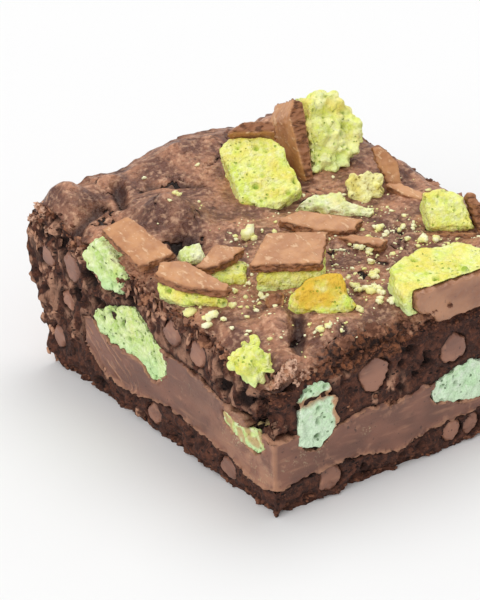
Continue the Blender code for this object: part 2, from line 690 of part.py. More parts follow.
def add_chips(parts, cutters, materials):
    for index, chip in enumerate(CHIPS):
        number = sum(other.wall == chip.wall for other in CHIPS[:index + 1])
        name = f"chip_{chip.wall}_{number}"
        shape = chip_shape(chip, index * 3.7)
        wider = finish_mesh(grown(shape, GAP), name + "_pocket")
        item = new_object(name, finish_mesh(shape, name), materials["layer"], parts)
        item.data.shade_smooth()
        as_cutter(new_object(name + "_pocket", wider, materials["layer"], cutters))


def add_pits(cutters, materials):
    for index, pit in enumerate(PITS):
        centre = wall_point(pit.wall, pit.along, pit.height, PIT_SUNK)
        shape = ball_shape(centre, pit.radius, PIT_FLATTEN, index * 5.1, 1)
        name = f"pit_{index + 1}"
        as_cutter(new_object(name, finish_mesh(shape, name), materials["crumb"], cutters))


def add_crumbs(brownie, materials):
    """Fuse crust flakes and mint crumbs to the crumb block."""
    crumbs = bpy.data.collections.new("Crumbs")
    bpy.context.scene.collection.children.link(crumbs)
    for index, flake in enumerate(FLAKES):
        shape = ball_shape((flake.x, flake.y, flake.z), flake.radius, FLAKE_FLATTEN, index * 2.3, 1)
        new_object(f"flake_{index}", finish_mesh(shape, "flake"), materials["crumb"], crumbs)
    for index, crumb in enumerate(CRUMBS):
        height = crust_height(crumb.x, crumb.y) + crumb.radius * CRUMB_SUNK
        shape = ball_shape((crumb.x, crumb.y, height), crumb.radius, CRUMB_FLATTEN, index * 1.9, 1)
        new_object(f"crumb_{index}", finish_mesh(shape, "crumb"), materials["mint"], crumbs)
    add_boolean(brownie, "UNION", group=crumbs, solver="MANIFOLD")
    apply_modifiers(brownie)
    for item in list(crumbs.objects):
        bpy.data.objects.remove(item)
    bpy.data.collections.remove(crumbs)


def clear_scene():
    for item in list(bpy.data.objects):
        bpy.data.objects.remove(item)
    for group in list(bpy.data.collections):
        bpy.data.collections.remove(group)


def new_collection(name):
    group = bpy.data.collections.new(name)
    bpy.context.scene.collection.children.link(group)
    return group


def main():
    clear_scene()
    parts = new_collection("Brownie")
    cutters = new_collection("Cutters")
    materials = {name: make_material(name) for name in COLOURS}

    add_pieces(TOPPINGS, parts, cutters, materials)
    add_pieces(FACE_MINTS, parts, cutters, materials)
    add_chips(parts, cutters, materials)

    # Where a mint meets its chocolate at an angle, the chocolate stays whole.
    for tile in ("left_tile", "edge_tile", "wedge", "back_tile", "centre_tile", "right_tile"):
        mint = bpy.data.objects[tile + "_mint"]
        add_boolean(mint, "DIFFERENCE", cutter=bpy.data.objects[tile + "_coat_pocket"])
        apply_modifiers(mint)
        keep_largest_body(mint)

    layer = new_object(
        "milk_chocolate_layer", layer_mesh("milk_chocolate_layer"), materials["layer"], parts)
    add_boolean(layer, "DIFFERENCE", group=cutters, solver="MANIFOLD")
    apply_modifiers(layer)
    keep_largest_body(layer)

    brownie = new_object("brownie", crumb_block_mesh(), materials["crumb"], parts)
    add_pits(cutters, materials)
    slot = layer_mesh("layer_slot", GAP, SLOT_REACH)
    as_cutter(new_object("layer_slot", slot, materials["layer"], cutters))
    add_crumbs(brownie, materials)
    add_boolean(brownie, "DIFFERENCE", group=cutters, solver="MANIFOLD")
    apply_modifiers(brownie)
    keep_largest_body(brownie)


main()
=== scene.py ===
import math
import random

import bpy
import numpy as np
from mathutils import Matrix, Vector, noise
from mathutils.bvhtree import BVHTree


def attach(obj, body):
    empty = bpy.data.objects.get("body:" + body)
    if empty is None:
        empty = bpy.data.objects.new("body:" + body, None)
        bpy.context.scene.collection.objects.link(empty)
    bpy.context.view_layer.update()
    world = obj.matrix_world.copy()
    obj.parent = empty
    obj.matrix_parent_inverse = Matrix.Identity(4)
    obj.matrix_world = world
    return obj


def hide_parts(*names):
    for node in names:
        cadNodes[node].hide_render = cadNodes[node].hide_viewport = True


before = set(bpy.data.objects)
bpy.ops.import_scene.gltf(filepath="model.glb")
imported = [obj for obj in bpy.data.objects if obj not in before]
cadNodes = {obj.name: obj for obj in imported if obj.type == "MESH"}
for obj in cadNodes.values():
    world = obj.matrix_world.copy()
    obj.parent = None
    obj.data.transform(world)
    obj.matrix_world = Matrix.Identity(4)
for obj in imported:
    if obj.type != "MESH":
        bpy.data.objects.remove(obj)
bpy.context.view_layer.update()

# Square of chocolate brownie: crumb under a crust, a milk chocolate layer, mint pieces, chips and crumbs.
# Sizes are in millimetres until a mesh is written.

mm = 0.001
scene = bpy.context.scene


# Small numbers

def smooth(value):
    value = min(max(value, 0.0), 1.0)
    return value * value * (3.0 - 2.0 * value)


def mix(first, second, share):
    return first + (second - first) * share


def tint(red, green, blue):  # a colour read off a screen, as the shader wants it
    parts = [channel / 255.0 for channel in (red, green, blue)]
    linear = [part / 12.92 if part <= 0.04045 else ((part + 0.055) / 1.055) ** 2.4 for part in parts]
    return (*linear, 1.0)


# Working on objects

def useOnly(piece):
    if bpy.context.mode != "OBJECT":
        bpy.ops.object.mode_set(mode="OBJECT")
    bpy.ops.object.select_all(action="DESELECT")
    piece.select_set(True)
    bpy.context.view_layer.objects.active = piece


def applyModifier(piece, kind, **settings):
    useOnly(piece)
    modifier = piece.modifiers.new(kind.lower(), kind)
    for key, value in settings.items():
        setattr(modifier, key, value)
    bpy.ops.object.modifier_apply(modifier=modifier.name)


def readPoints(piece):
    flat = np.empty(len(piece.data.vertices) * 3, np.float64)
    piece.data.vertices.foreach_get("co", flat)
    return flat.reshape(-1, 3)


def writePoints(piece, points):
    piece.data.vertices.foreach_set("co", np.asarray(points, np.float32).ravel())
    piece.data.update()


def writeMask(piece, name, values):
    mask = piece.data.attributes.new(name, "FLOAT", "POINT")
    mask.data.foreach_set("value", np.asarray(values, np.float32))


def writeResults(piece, results):  # each result is a point in millimetres and its masks by name
    writePoints(piece, [point * mm for point, masks in results])
    for name in results[0][1]:
        writeMask(piece, name, [masks[name] for point, masks in results])


def reshape(piece, move):  # move takes a point and its normal, and gives the new point and its masks
    normals = [vert.normal.copy() for vert in piece.data.vertices]
    places = [Vector(place) for place in readPoints(piece) / mm]
    writeResults(piece, [move(place, normal) for place, normal in zip(places, normals)])
    return piece


def plainName(node):
    name = "".join(part.capitalize() for part in node.split("_"))
    return name[0].lower() + name[1:]


def copyOfNodes(name, nodes):  # a merged copy of CAD nodes, free to be reshaped
    copies = []
    for node in nodes:
        copied = cadNodes[node].copy()
        copied.data = cadNodes[node].data.copy()
        copied.parent = None
        for key in list(copied.keys()):
            del copied[key]
        scene.collection.objects.link(copied)
        copies.append(copied)
    useOnly(copies[0])
    for copied in copies:
        copied.select_set(True)
    if len(copies) > 1:
        bpy.ops.object.join()
    piece = bpy.context.object
    piece.name = name
    piece.data.name = name
    piece.data.materials.clear()
    bpy.ops.object.mode_set(mode="EDIT")
    bpy.ops.mesh.select_all(action="SELECT")
    bpy.ops.mesh.remove_doubles(threshold=0.000005)
    bpy.ops.object.mode_set(mode="OBJECT")
    return piece


def treeOf(pieces):
    points = []
    faces = []
    for piece in pieces:
        start = len(points)
        points.extend(vert.co / mm for vert in piece.data.vertices)
        faces.extend([start + index for index in face.vertices] for face in piece.data.polygons)
    return BVHTree.FromPolygons(points, faces)


def finishPiece(piece, material, nodes=()):
    useOnly(piece)
    bpy.ops.object.shade_smooth()
    piece.data.materials.clear()
    piece.data.materials.append(material)
    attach(piece, "root")
    if nodes:
        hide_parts(*nodes)


# Shader nodes as Python sums

class Wire:
    def __init__(self, finish, socket):
        self.finish = finish
        self.socket = socket

    def sum(self, operation, first, second):
        return self.finish.node("ShaderNodeMath", {"operation": operation}, {0: first, 1: second})

    def __add__(self, other):
        return self.sum("ADD", self, other)

    def __radd__(self, other):
        return self.sum("ADD", other, self)

    def __sub__(self, other):
        return self.sum("SUBTRACT", self, other)

    def __rsub__(self, other):
        return self.sum("SUBTRACT", other, self)

    def __mul__(self, other):
        return self.sum("MULTIPLY", self, other)

    def __rmul__(self, other):
        return self.sum("MULTIPLY", other, self)


class Finish:
    def __init__(self, name):
        self.material = bpy.data.materials.new(name)
        self.material.use_nodes = True
        self.nodes = self.material.node_tree.nodes
        self.links = self.material.node_tree.links
        self.surface = self.nodes["Principled BSDF"]
        self.place = self.node("ShaderNodeTexCoord", {}, {}, "Object")

    def node(self, kind, settings, sockets, output=0):
        made = self.nodes.new(kind)
        for key, value in settings.items():
            setattr(made, key, value)
        self.join(made, sockets)
        return Wire(self, made.outputs[output])

    def join(self, made, sockets):
        for key, value in sockets.items():
            if isinstance(value, Wire):
                self.links.new(value.socket, made.inputs[key])
            else:
                made.inputs[key].default_value = value

    def attribute(self, name):
        return self.node("ShaderNodeAttribute", {"attribute_name": name}, {}, "Fac")

    def stretched(self, scale):
        return self.node("ShaderNodeMapping", {}, {"Vector": self.place, "Scale": scale})

    def grain(self, size, detail=3.0, place=None):  # soft noise with lumps of this size
        sockets = {"Vector": place or self.place, "Scale": 1.0 / (size * mm), "Detail": detail}
        return self.node("ShaderNodeTexNoise", {}, sockets)

    def cells(self, size, place=None):
        sockets = {"Vector": place or self.place, "Scale": 1.0 / (size * mm)}
        return self.node("ShaderNodeTexVoronoi", {}, sockets, "Distance")

    def step(self, value, low, high):  # 0 below low, 1 above high
        return self.node(
            "ShaderNodeMapRange", {"interpolation_type": "SMOOTHSTEP"},
            {"Value": value, "From Min": low, "From Max": high})

    def blend(self, mask, first, second):
        return self.node("ShaderNodeMix", {"data_type": "RGBA"}, {0: mask, 6: first, 7: second}, 2)

    def finish(self, colour, roughness, height, depth, **constants):
        bump = self.node("ShaderNodeBump", {}, {"Height": height, "Strength": 1.0, "Distance": depth * mm})
        self.join(self.surface, {"Base Color": colour, "Roughness": roughness, "Normal": bump})
        self.join(self.surface, {key.replace("_", " "): value for key, value in constants.items()})
        return self.material


# The cake block

cake = {
    "width": 70.0,
    "length": 80.0,
    "frontLeft": 29.5,
    "frontRight": 32.0,
    "backLeft": 36.0,
    "backRight": 38.0,
    "cuts": ((10, 16), (12, 15), (8, 9)),  # cells across, along and up, each as two rounds of cuts
    "levels": 1.15,  # above 1 the levels lie closer together at the foot
    "mounds": (  # x, y, radius, height
        (-18.8, 17.0, 12.5, 2.7), (-18.2, 16.6, 8.5, 2.5), (-30.0, 34.5, 8.5, 2.6), (-20.0, 42.0, 9.0, 2.2),
        (4.0, 43.0, 22.0, 3.6), (-3.0, 37.0, 7.0, 1.0), (25.0, 38.0, 10.0, 1.6), (-16.0, -34.0, 7.0, 1.8),
        (-24.0, -26.0, 6.0, 1.2), (24.0, -30.0, 9.0, 1.5), (-21.5, 6.5, 6.0, -3.0), (-34.0, -40.0, 7.0, -2.2),
        (-28.0, 22.5, 5.5, -1.4), (4.0, 8.0, 6.0, -1.0)),
    "creases": (  # start, end, width, depth
        ((-35.0, 25.5), (-25.0, 29.0), 2.4, 2.2), ((-18.5, 33.5), (-23.0, 26.0), 2.2, 1.8),
        ((-14.0, 29.5), (-5.0, 24.5), 1.8, 1.0), ((-20.0, -27.0), (-26.0, -36.0), 2.0, 1.3)),
    "wander": 2.0,  # how far a fine crack strays from its line
    "tears": (  # fine cracks in the skin: start, end, width, depth
        ((-34.0, 23.6), (-27.0, 25.4), 1.0, 1.4), ((-24.2, 30.2), (-26.6, 24.8), 1.2, 1.5),
        ((-26.4, 25.4), (-27.8, 20.0), 1.1, 1.2), ((-12.0, 28.8), (-6.0, 25.8), 0.7, 1.3),
        ((-6.0, 25.8), (-3.5, 22.0), 0.6, 1.2), ((-9.5, 31.5), (-7.0, 28.0), 0.6, 1.0),
        ((-24.5, 9.5), (-17.0, 6.5), 1.2, 1.1), ((-6.0, -27.5), (-1.0, -25.5), 0.9, 1.0),
        ((-2.0, -20.5), (1.5, -22.0), 0.9, 1.0), ((-26.0, -33.0), (-21.5, -30.5), 1.1, 1.3)),
    "pits": (  # wall, along, height, half length, half height, depth
        ("left", 34.0, 29.5, 1.8, 1.5, 1.6), ("left", 24.5, 20.5, 1.9, 1.6, 1.7),
        ("left", 19.0, 3.2, 1.6, 1.2, 1.2), ("left", 28.6, 28.6, 2.0, 2.2, 2.6),
        ("left", 20.8, 25.4, 2.6, 1.4, 2.4), ("left", 17.0, 21.4, 3.0, 1.2, 2.2),
        ("left", -25.0, 21.6, 2.0, 1.6, 1.8), ("left", -31.5, 21.5, 2.2, 1.8, 2.0),
        ("left", -30.5, 17.6, 5.6, 1.1, 2.4), ("left", 6.5, 26.6, 3.4, 1.0, 1.8),
        ("left", -15.5, 18.6, 3.0, 1.5, 2.4), ("front", -31.0, 26.5, 1.8, 1.5, 1.6),
        ("front", -4.0, 25.0, 1.9, 1.0, 1.3), ("front", -16.5, 6.8, 3.4, 0.8, 1.6),
        ("front", -9.0, 5.8, 3.2, 0.8, 1.6), ("front", -2.5, 6.0, 2.6, 0.7, 1.4),
        ("front", 0.5, 20.5, 1.6, 0.9, 1.2), ("front", 18.5, 24.0, 1.8, 1.1, 1.3),
        ("right", 9.0, 26.5, 1.9, 1.5, 1.6)),
    "looseEdge": (-14.0, 12.0, 3.2),  # crumbled crust along the front: centre, reach, depth
    "frayed": (  # torn places of the cuts: wall, along, height, reach
        ("left", 31.0, 28.0, 13.0), ("front", -9.5, 16.8, 4.2), ("front", -20.5, 26.5, 2.6)),
    "wave": (0.9, 7.0),  # height and size
    "crustRounding": (1.8, 3.5),  # depth and reach from a cut edge
    "backRounding": (2.4, 5.0),
    "backBulge": (3.4, 0.75),  # how far, and at which share of the height
    "backFoot": -3.4,
    "backLip": (1.6, 0.8),  # how far the top edge falls back, and from which share
    "backReach": 0.8,  # share of the length where the bulge starts
    "backCrag": 0.7,
    "crag": 1.1,
    "cragSizes": ((6.5, 5.0, 0.0), (3.1, 2.7, 20.0)),  # along, up, seed
    "fineCrag": 0.6,
    "shoulder": (0.8, 3.0),  # depth and height of the worn upper edge
    "cornerBite": (2.2, 7.0, 0.55, 0.35),  # depth, reach, and its start and growth by share of height
    "footInset": 1.3,
    "footRise": 4.0,
    "flakyFrom": (8.0, 6.0),  # height on the left cut where it turns flaky, and over how much
    "flaky": (0.35, 1.0),  # on the dense cuts and on the torn one
    "crustBand": (1.1, 0.5, 3.0),  # the crust's cut edge: height, change, size of the change
    "calmReach": 2.2,  # round the pieces in a cut, the crumb lies calmer
    "calm": 0.8,
    "pieceShade": (0.6, 0.8),  # darkness and width of the painted shadow line round a piece
    "gapBehindPieces": 1.7,
    "pieceReach": (12.0, 17.0),  # where a piece is looked for: from outside, and how deep
}
texture = {  # sizes in millimetres first, heights after them
    "lumps": ((3.2, 0.6), (1.3, 0.4)),
    "upright": (1.5, 4.2, 2.2),
    "level": (2.6, 0.8, 0.9),
    "quiet": 0.16,
    "granules": (1.6, 1.4),
    "granuleHeights": (0.12, 0.35, 2.2),  # dense, flaky, loose
    "holes": (3.6, 0.34, 1.5),  # size, share, depth
    "wrinkles": ((4.6, 0.45), (2.1, 0.22), (1.05, 0.12)),
    "crazing": (8.5, 0.08, 0.7),  # size, width, depth of the short cracks in the skin
    "crazedPatch": 12.0,
    "strayStep": 2.3,
    "lieReach": 4.0,
}
leftWall = -cake["width"] / 2
rightWall = cake["width"] / 2
frontWall = -cake["length"] / 2
backWall = cake["length"] / 2


def lineDistance(x, y, start, end):
    point = Vector((x, y))
    first = Vector(start)
    run = Vector(end) - first
    share = min(max((point - first).dot(run) / run.length_squared, 0.0), 1.0)
    return (point - first - run * share).length


def crustHeight(x, y):
    across = x / cake["width"] + 0.5
    along = y / cake["length"] + 0.5
    front = mix(cake["frontLeft"], cake["frontRight"], across)
    back = mix(cake["backLeft"], cake["backRight"], across)
    height = mix(front, back, along)
    for moundX, moundY, radius, rise in cake["mounds"]:
        height += rise * smooth(1.0 - math.hypot(x - moundX, y - moundY) / radius)
    for start, end, width, depth in cake["creases"]:
        height -= depth * smooth(1.0 - lineDistance(x, y, start, end) / width)
    wave, size = cake["wave"]
    height += wave * noise.noise(Vector((x / size, y / size, 3.0)))
    wallDistance = min(x - leftWall, rightWall - x, y - frontWall)
    for key, distance in (("crustRounding", wallDistance), ("backRounding", backWall - y)):
        depth, reach = cake[key]
        height -= depth * smooth(1.0 - distance / reach)
    return height


def crag(place, height, seed):
    coarse, fine = [
        noise.noise(Vector((place / along, height / up, seed + shift)))
        for along, up, shift in cake["cragSizes"]]
    return cake["crag"] * (coarse + cake["fineCrag"] * fine)


def wallShift(place, height, top, seed):
    foot = cake["footInset"] * smooth(1.0 - height / cake["footRise"])
    depth, reach = cake["shoulder"]
    return crag(place, height, seed) - foot - depth * smooth(1.0 - (top - height) / reach)


def backShift(place, height, top):
    share = height / top
    bulge, widest = cake["backBulge"]
    lip, lipStart = cake["backLip"]
    swell = mix(cake["backFoot"], bulge, smooth(share / widest))
    return swell - lip * smooth((share - lipStart) / 0.2) + cake["backCrag"] * crag(place, height, 5.0)


def cornerBite(x, y, share):
    depth, reach, start, span = cake["cornerBite"]
    distance = math.hypot(x - leftWall, y - frontWall)
    return depth * smooth(1.0 - distance / reach) * smooth((share - start) / span)


def crumbRelief(point, flaky, loose):  # torn crumb: how far it stands out
    (size, height), (smallSize, smallHeight) = texture["lumps"]
    lumps = noise.noise(point / size) * height
    lumps += noise.noise(point / smallSize + Vector((9.0, 0.0, 0.0))) * smallHeight
    width, length, height = texture["upright"]
    upright = Vector((point.x / width, point.y / width, point.z / length))
    torn = (abs(noise.noise(upright)) - texture["quiet"]) * height * flaky
    width, thickness, height = texture["level"]
    level = Vector((point.x / width, point.y / width, point.z / thickness))
    torn += (abs(noise.noise(level)) - texture["quiet"]) * height * (1.0 - 0.6 * flaky)
    width, height = texture["granules"]
    near = noise.voronoi(Vector((point.x / width, point.y / width, point.z / height)))[0]
    dense, flakyHeight, looseHeight = texture["granuleHeights"]
    granule = (0.5 - near[0]) * (dense + flakyHeight * flaky + looseHeight * loose)
    size, share, depth = texture["holes"]
    holes = noise.voronoi(point / size + Vector((3.0, 7.0, 1.0)))[0]
    return lumps + torn + granule - depth * smooth(1.0 - holes[0] / share)


def pitDepth(wall, along, height):
    deepest = 0.0
    for pitWall, pitAlong, pitHeight, halfLength, halfHeight, depth in cake["pits"]:
        if pitWall == wall and abs(along - pitAlong) < halfLength * 1.5:
            away = math.hypot((along - pitAlong) / halfLength, (height - pitHeight) / halfHeight)
            away += 0.35 * noise.noise(Vector((along / 1.2, height / 1.2, depth)))
            deepest = max(deepest, depth * math.sqrt(max(1.0 - away * away, 0.0)))
    return deepest


def crustRelief(point):  # baked skin: wrinkles, and a few cracks that come back as a mask too
    wrinkle = sum(noise.noise(point / size) * height for size, height in texture["wrinkles"])
    drift = Vector((noise.noise(point / 5.0), noise.noise(point / 4.0 + Vector((5.0, 0.0, 0.0))), 0.0))
    size, width, depth = texture["crazing"]
    near = noise.voronoi(point / size + drift * 0.5)[0]
    broken = smooth(noise.noise(point / texture["crazedPatch"] + Vector((0.0, 4.0, 0.0))) * 3.0)
    crack = depth * smooth(1.0 - (near[1] - near[0]) / width) * broken
    stray = point / texture["strayStep"]
    wander = Vector((noise.noise(stray), noise.noise(stray + Vector((0.0, 6.0, 0.0))), 0.0))
    wandering = point + wander * cake["wander"]
    for start, end, width, depth in cake["tears"]:
        middle = (Vector(start) + Vector(end)) / 2.0
        halfway = (Vector(end) - middle).length
        share = min((wandering.xy - middle).length / halfway, 1.0)
        ragged = 1.0 + 0.9 * noise.noise(Vector((point.x / 0.9, point.y / 0.9, depth)))
        ragged = width * (1.0 - 0.75 * share) * ragged
        crack = max(crack, depth * smooth(1.0 - lineDistance(wandering.x, wandering.y, start, end) / ragged))
    return wrinkle - crack, min(crack, 1.0)


def crustLie(x, y, height):  # how far the crust lies below its surroundings, and how steep it is
    reach = texture["lieReach"]
    left, right, near, far = [
        crustHeight(x + stepX, y + stepY)
        for stepX, stepY in ((-reach, 0.0), (reach, 0.0), (0.0, -reach), (0.0, reach))]
    return (left + right + near + far) / 4.0 - height, math.hypot(right - left, far - near) / (2.0 * reach)


def gridCube(name, rounds):  # unit cube without its underside, cut into cells
    useOnly(next(iter(cadNodes.values())))
    bpy.ops.object.select_all(action="DESELECT")
    bpy.ops.mesh.primitive_cube_add(size=1.0, location=(0.5, 0.5, 0.5))
    piece = bpy.context.object
    piece.name = name
    bpy.ops.object.transform_apply(location=True)
    bpy.ops.object.mode_set(mode="EDIT")
    bpy.ops.mesh.select_mode(type="FACE")
    bpy.ops.mesh.select_all(action="DESELECT")
    bpy.ops.object.mode_set(mode="OBJECT")
    for face in piece.data.polygons:
        face.select = face.normal.z < -0.5
    bpy.ops.object.mode_set(mode="EDIT")
    bpy.ops.mesh.delete(type="ONLY_FACE")
    bpy.ops.mesh.select_mode(type="EDGE")
    for axis, counts in enumerate(rounds):
        for count in counts:
            bpy.ops.mesh.select_all(action="DESELECT")
            bpy.ops.object.mode_set(mode="OBJECT")
            points = readPoints(piece)
            ends = np.empty(len(piece.data.edges) * 2, np.int64)
            piece.data.edges.foreach_get("vertices", ends)
            ends = ends.reshape(-1, 2)
            run = np.abs(points[ends[:, 0]] - points[ends[:, 1]])
            piece.data.edges.foreach_set("select", run.argmax(1) == axis)
            bpy.ops.object.mode_set(mode="EDIT")
            bpy.ops.mesh.subdivide(number_cuts=count - 1)
    bpy.ops.object.mode_set(mode="OBJECT")
    return piece


def closeUnderside(piece):
    useOnly(piece)
    bpy.ops.object.mode_set(mode="EDIT")
    bpy.ops.mesh.select_mode(type="EDGE")
    bpy.ops.mesh.select_all(action="DESELECT")
    bpy.ops.mesh.select_non_manifold()
    bpy.ops.mesh.edge_face_add()
    bpy.ops.mesh.select_all(action="SELECT")
    bpy.ops.mesh.normals_make_consistent(inside=False)
    bpy.ops.object.mode_set(mode="OBJECT")


def makeCake(wallPieces, flushPieces):
    piece = gridCube("cakeBlock", cake["cuts"])
    tree = treeOf(wallPieces)
    flushTree = treeOf(flushPieces)
    results = []
    for shareX, shareY, shareZ in readPoints(piece):
        x = mix(leftWall, rightWall, shareX)
        y = mix(frontWall, backWall, shareY)
        top = crustHeight(x, y)
        rise = shareZ ** cake["levels"]
        z = rise * top
        bite = cornerBite(x, y, rise)
        point = Vector((x, y, z))
        onLeft, onFront = [bool(share < 0.001) for share in (shareX, shareY)]
        onRight, onBack, onTop = [bool(share > 0.999) for share in (shareX, shareY, shareZ)]
        outward = Vector((onRight - onLeft, onBack - onFront, 0.0))
        onCut = outward.length > 0.0 and not onBack
        torn = slope = tear = dusted = 0.0
        level = 1.0
        wall = "left" if onLeft else "right" if onRight else "front"
        along = x if wall == "front" else y
        centre, reach, looseBand = cake["looseEdge"]
        loose = smooth(1.2 - abs(along - centre) / reach) if wall == "front" else 0.0
        loose *= smooth(1.5 - (y - frontWall) / 2.2)
        base, change, size = cake["crustBand"]
        band = base + change * noise.noise(Vector((along / size, 0.0, 4.0))) + looseBand * loose
        skin = 1.0 if onTop or onBack else smooth(1.5 - (top - z) / band)
        crumbled = loose * skin
        skin -= 0.5 * crumbled
        dense, flaky = cake["flaky"]
        if onCut:
            gap = flushTree.find_nearest(point)[3] or 0.0
            level = 1.0 - cake["calm"] * smooth(1.4 - gap / cake["calmReach"])
            torn = max(
                smooth(1.5 - math.hypot(along - place, z - height) / reach) * (tornWall == wall)
                for tornWall, place, height, reach in cake["frayed"])
            start, span = cake["flakyFrom"]
            upper = smooth((z - start) / span) * onLeft
            relief = crumbRelief(point, mix(dense, flaky, upper), crumbled) * level * (1.0 + 0.35 * torn)
            hole = pitDepth(wall, along, z)
            relief -= hole
            if onFront and (onLeft or onRight):
                relief = min(relief, 0.0)
            torn = max(torn, 0.6 * upper)
            shade, width = cake["pieceShade"]
            # painted shade: low crumb, pits and a line round each piece are made darker, more so on the left
            # cut
            deep = smooth(0.12 + 0.12 * onLeft - relief / 1.3)
            deep = max(deep, smooth(hole), shade * smooth(1.5 - gap / width))
        else:
            relief, tear = crustRelief(point)
            relief = mix(relief, crumbRelief(point, dense, 1.0), crumbled)
            # painted shade in the skin's cracks and low wrinkles
            deep = max(tear, smooth(0.1 - relief))
        if onTop and not onCut:
            sunk, steep = crustLie(x, y, top)
            # painted shade where the crust lies below its surroundings
            deep = max(deep, smooth(sunk / 1.4))
            # painted shade on steep crust, so the mounds read
            slope = smooth((steep - 0.2) / 0.4)
        if onLeft:
            point.x -= wallShift(y, z, top, 1.0) * level - bite + relief
        elif onRight:
            point.x += wallShift(y, z, top, 2.0) * level + relief
        if onFront:
            point.y -= wallShift(x, z, top, 3.0) * level - bite + relief
        else:
            start = cake["backReach"]
            point.y += backShift(x, z, top) * smooth((shareY - start) / (1.0 - start))
            if onBack:
                point.y += relief
        if onTop:
            point.z += relief
            centreX, centreY = crumbs["centre"]
            spreadX, spreadY = crumbs["spread"]
            dusted = smooth(1.9 - math.hypot((x - centreX) / spreadX, (y - centreY) / spreadY))
        if onCut and 0.0 < shareZ < 1.0:
            outward.normalize()
            outside, reach = cake["pieceReach"]
            hit = tree.ray_cast(point + outward * outside, -outward, reach)[0]
            if hit is not None:
                behind = (point - hit).dot(outward) + cake["gapBehindPieces"]
                if behind > 0.0:
                    point -= outward * behind
                    # painted shade on the crumb pushed back behind a piece
                    deep = 0.7
        results.append((point, {
            "crust": skin, "hollow": deep, "dusted": dusted, "frayed": torn, "slope": slope, "tear": tear}))
    writeResults(piece, results)
    closeUnderside(piece)
    return piece


def cakeFinish():
    look = {
        "crustDark": tint(116, 74, 58),
        "crust": tint(190, 134, 103),
        "crustLight": tint(246, 198, 162),
        # painted shade for crust lying low; the colour after it is painted shade for steep crust
        "crustLow": tint(54, 33, 31),
        "crustSlope": tint(86, 54, 48),
        "edge": tint(142, 88, 58),
        "edgeDark": tint(60, 36, 27),
        "crumbDark": tint(63, 38, 31),
        "crumb": tint(106, 64, 48),
        "crumbRed": tint(152, 92, 64),
        "crumbTan": tint(206, 156, 128),
        # near-black painted shade for hollows, pits, pocks and cracks
        "hole": tint(24, 14, 12),
        "dust": tint(248, 236, 184),
    }
    finish = Finish("cake crumb and crust")
    hollow = finish.attribute("hollow")
    broad = finish.step(finish.grain(6.0, 4.0), 0.4, 0.6)
    fine = finish.step(finish.grain(1.1, 7.0), 0.46, 0.7)
    skin = finish.blend(broad, look["crustDark"], look["crust"])
    # painted shade on the steep slopes of the crust
    skin = finish.blend(finish.attribute("slope") * 0.5, skin, look["crustSlope"])
    skin = finish.blend(fine * 0.48, skin, look["crustLight"])
    vein = finish.step(finish.grain(0.8, 5.0), 0.52, 0.66)
    skin = finish.blend(vein * 0.3, skin, look["crustDark"])
    # painted shade in the low places of the crust
    skin = finish.blend(hollow * 0.85, skin, look["crustLow"])
    # cracks in the skin coloured near black: painted shade
    tear = finish.step(finish.attribute("tear") + finish.grain(0.7) * 0.5, 0.62, 0.84)
    skin = finish.blend(tear * 0.9, skin, look["hole"])
    speck = finish.step(0.25 - finish.cells(0.85), 0.0, 0.06)
    speck = speck * finish.step(finish.grain(3.0, 2.0), 0.52, 0.62) * finish.attribute("dusted")
    skin = finish.blend(speck * 0.55, skin, look["dust"])
    granule = finish.blend(finish.step(finish.grain(1.0, 4.0), 0.4, 0.62), look["edgeDark"], look["edge"])
    # painted shade in the hollows of the crumbled edge
    granule = finish.blend(hollow * 0.9, granule, look["hole"])
    patches = finish.step(finish.grain(1.2, 6.0), 0.4, 0.64)
    crumb = finish.blend(patches * 0.8, look["crumbDark"], look["crumb"])
    red = finish.step(finish.grain(0.5, 5.0), 0.56, 0.68)
    crumb = finish.blend(red * (1.0 - hollow) * 0.32, crumb, look["crumbRed"])
    fray = finish.step(finish.grain(2.2, 5.0, finish.stretched((1.0, 1.0, 0.45))), 0.46, 0.58)
    crumb = finish.blend(fray * finish.attribute("frayed") * (1.0 - hollow) * 0.9, crumb, look["crumbTan"])
    # pocks: small pits painted near black as shade, with a dip in the bump
    pocks = finish.step(0.26 - finish.cells(1.1, finish.stretched((0.6, 0.6, 1.2))), 0.0, 0.1)
    pocks = pocks * finish.step(finish.grain(4.0, 2.0), 0.42, 0.56)
    crumb = finish.blend(pocks * 0.85, crumb, look["hole"])
    # painted shade in the hollows of the cut crumb
    crumb = finish.blend(hollow * 0.85, crumb, look["hole"])
    crust = finish.attribute("crust") + finish.grain(1.3) * 0.5 - 0.25
    colour = finish.blend(finish.step(crust, 0.2, 0.5), crumb, granule)
    colour = finish.blend(finish.step(crust, 0.8, 1.0), colour, skin)
    skinned = finish.step(crust, 0.5, 0.9)
    porous = (finish.cells(0.6) * 0.5 - pocks * 1.2) * (1.0 - skinned)
    leather = (finish.grain(0.6, 5.0) * 0.5 + finish.cells(1.2) * 0.25 - vein * 0.3 - tear) * skinned
    height = finish.grain(0.8, 6.0) * (1.0 - 0.5 * skinned) + porous + leather
    roughness = 0.88 - 0.5 * skinned + fine * 0.1
    return finish.finish(colour, roughness, height, 0.6, Specular_IOR_Level=0.34)


# The milk chocolate layer

layer = {
    "voxel": 0.4,
    "smear": 0.16,
    "wave": 0.25,
    "ragged": 0.8,
    "lip": 0.7,
    "swelling": 0.2,
    "tannedFrom": -22.0,
    "shownDepth": 2.0,
    "ridgeReach": 4.5,
    "ridgeLines": (((21.5, 16.0), (15.0, 11.2)), ((15.0, 11.2), (8.0, 7.2))),
    "powder": (  # wall, along, height, radius
        ("front", -26.5, 11.2, 4.2), ("front", -14.0, 12.0, 2.0), ("front", -31.5, 10.0, 2.4),
        ("left", -28.0, 13.5, 5.5), ("left", -36.0, 9.0, 5.0), ("left", -12.0, 15.5, 2.4)),
}


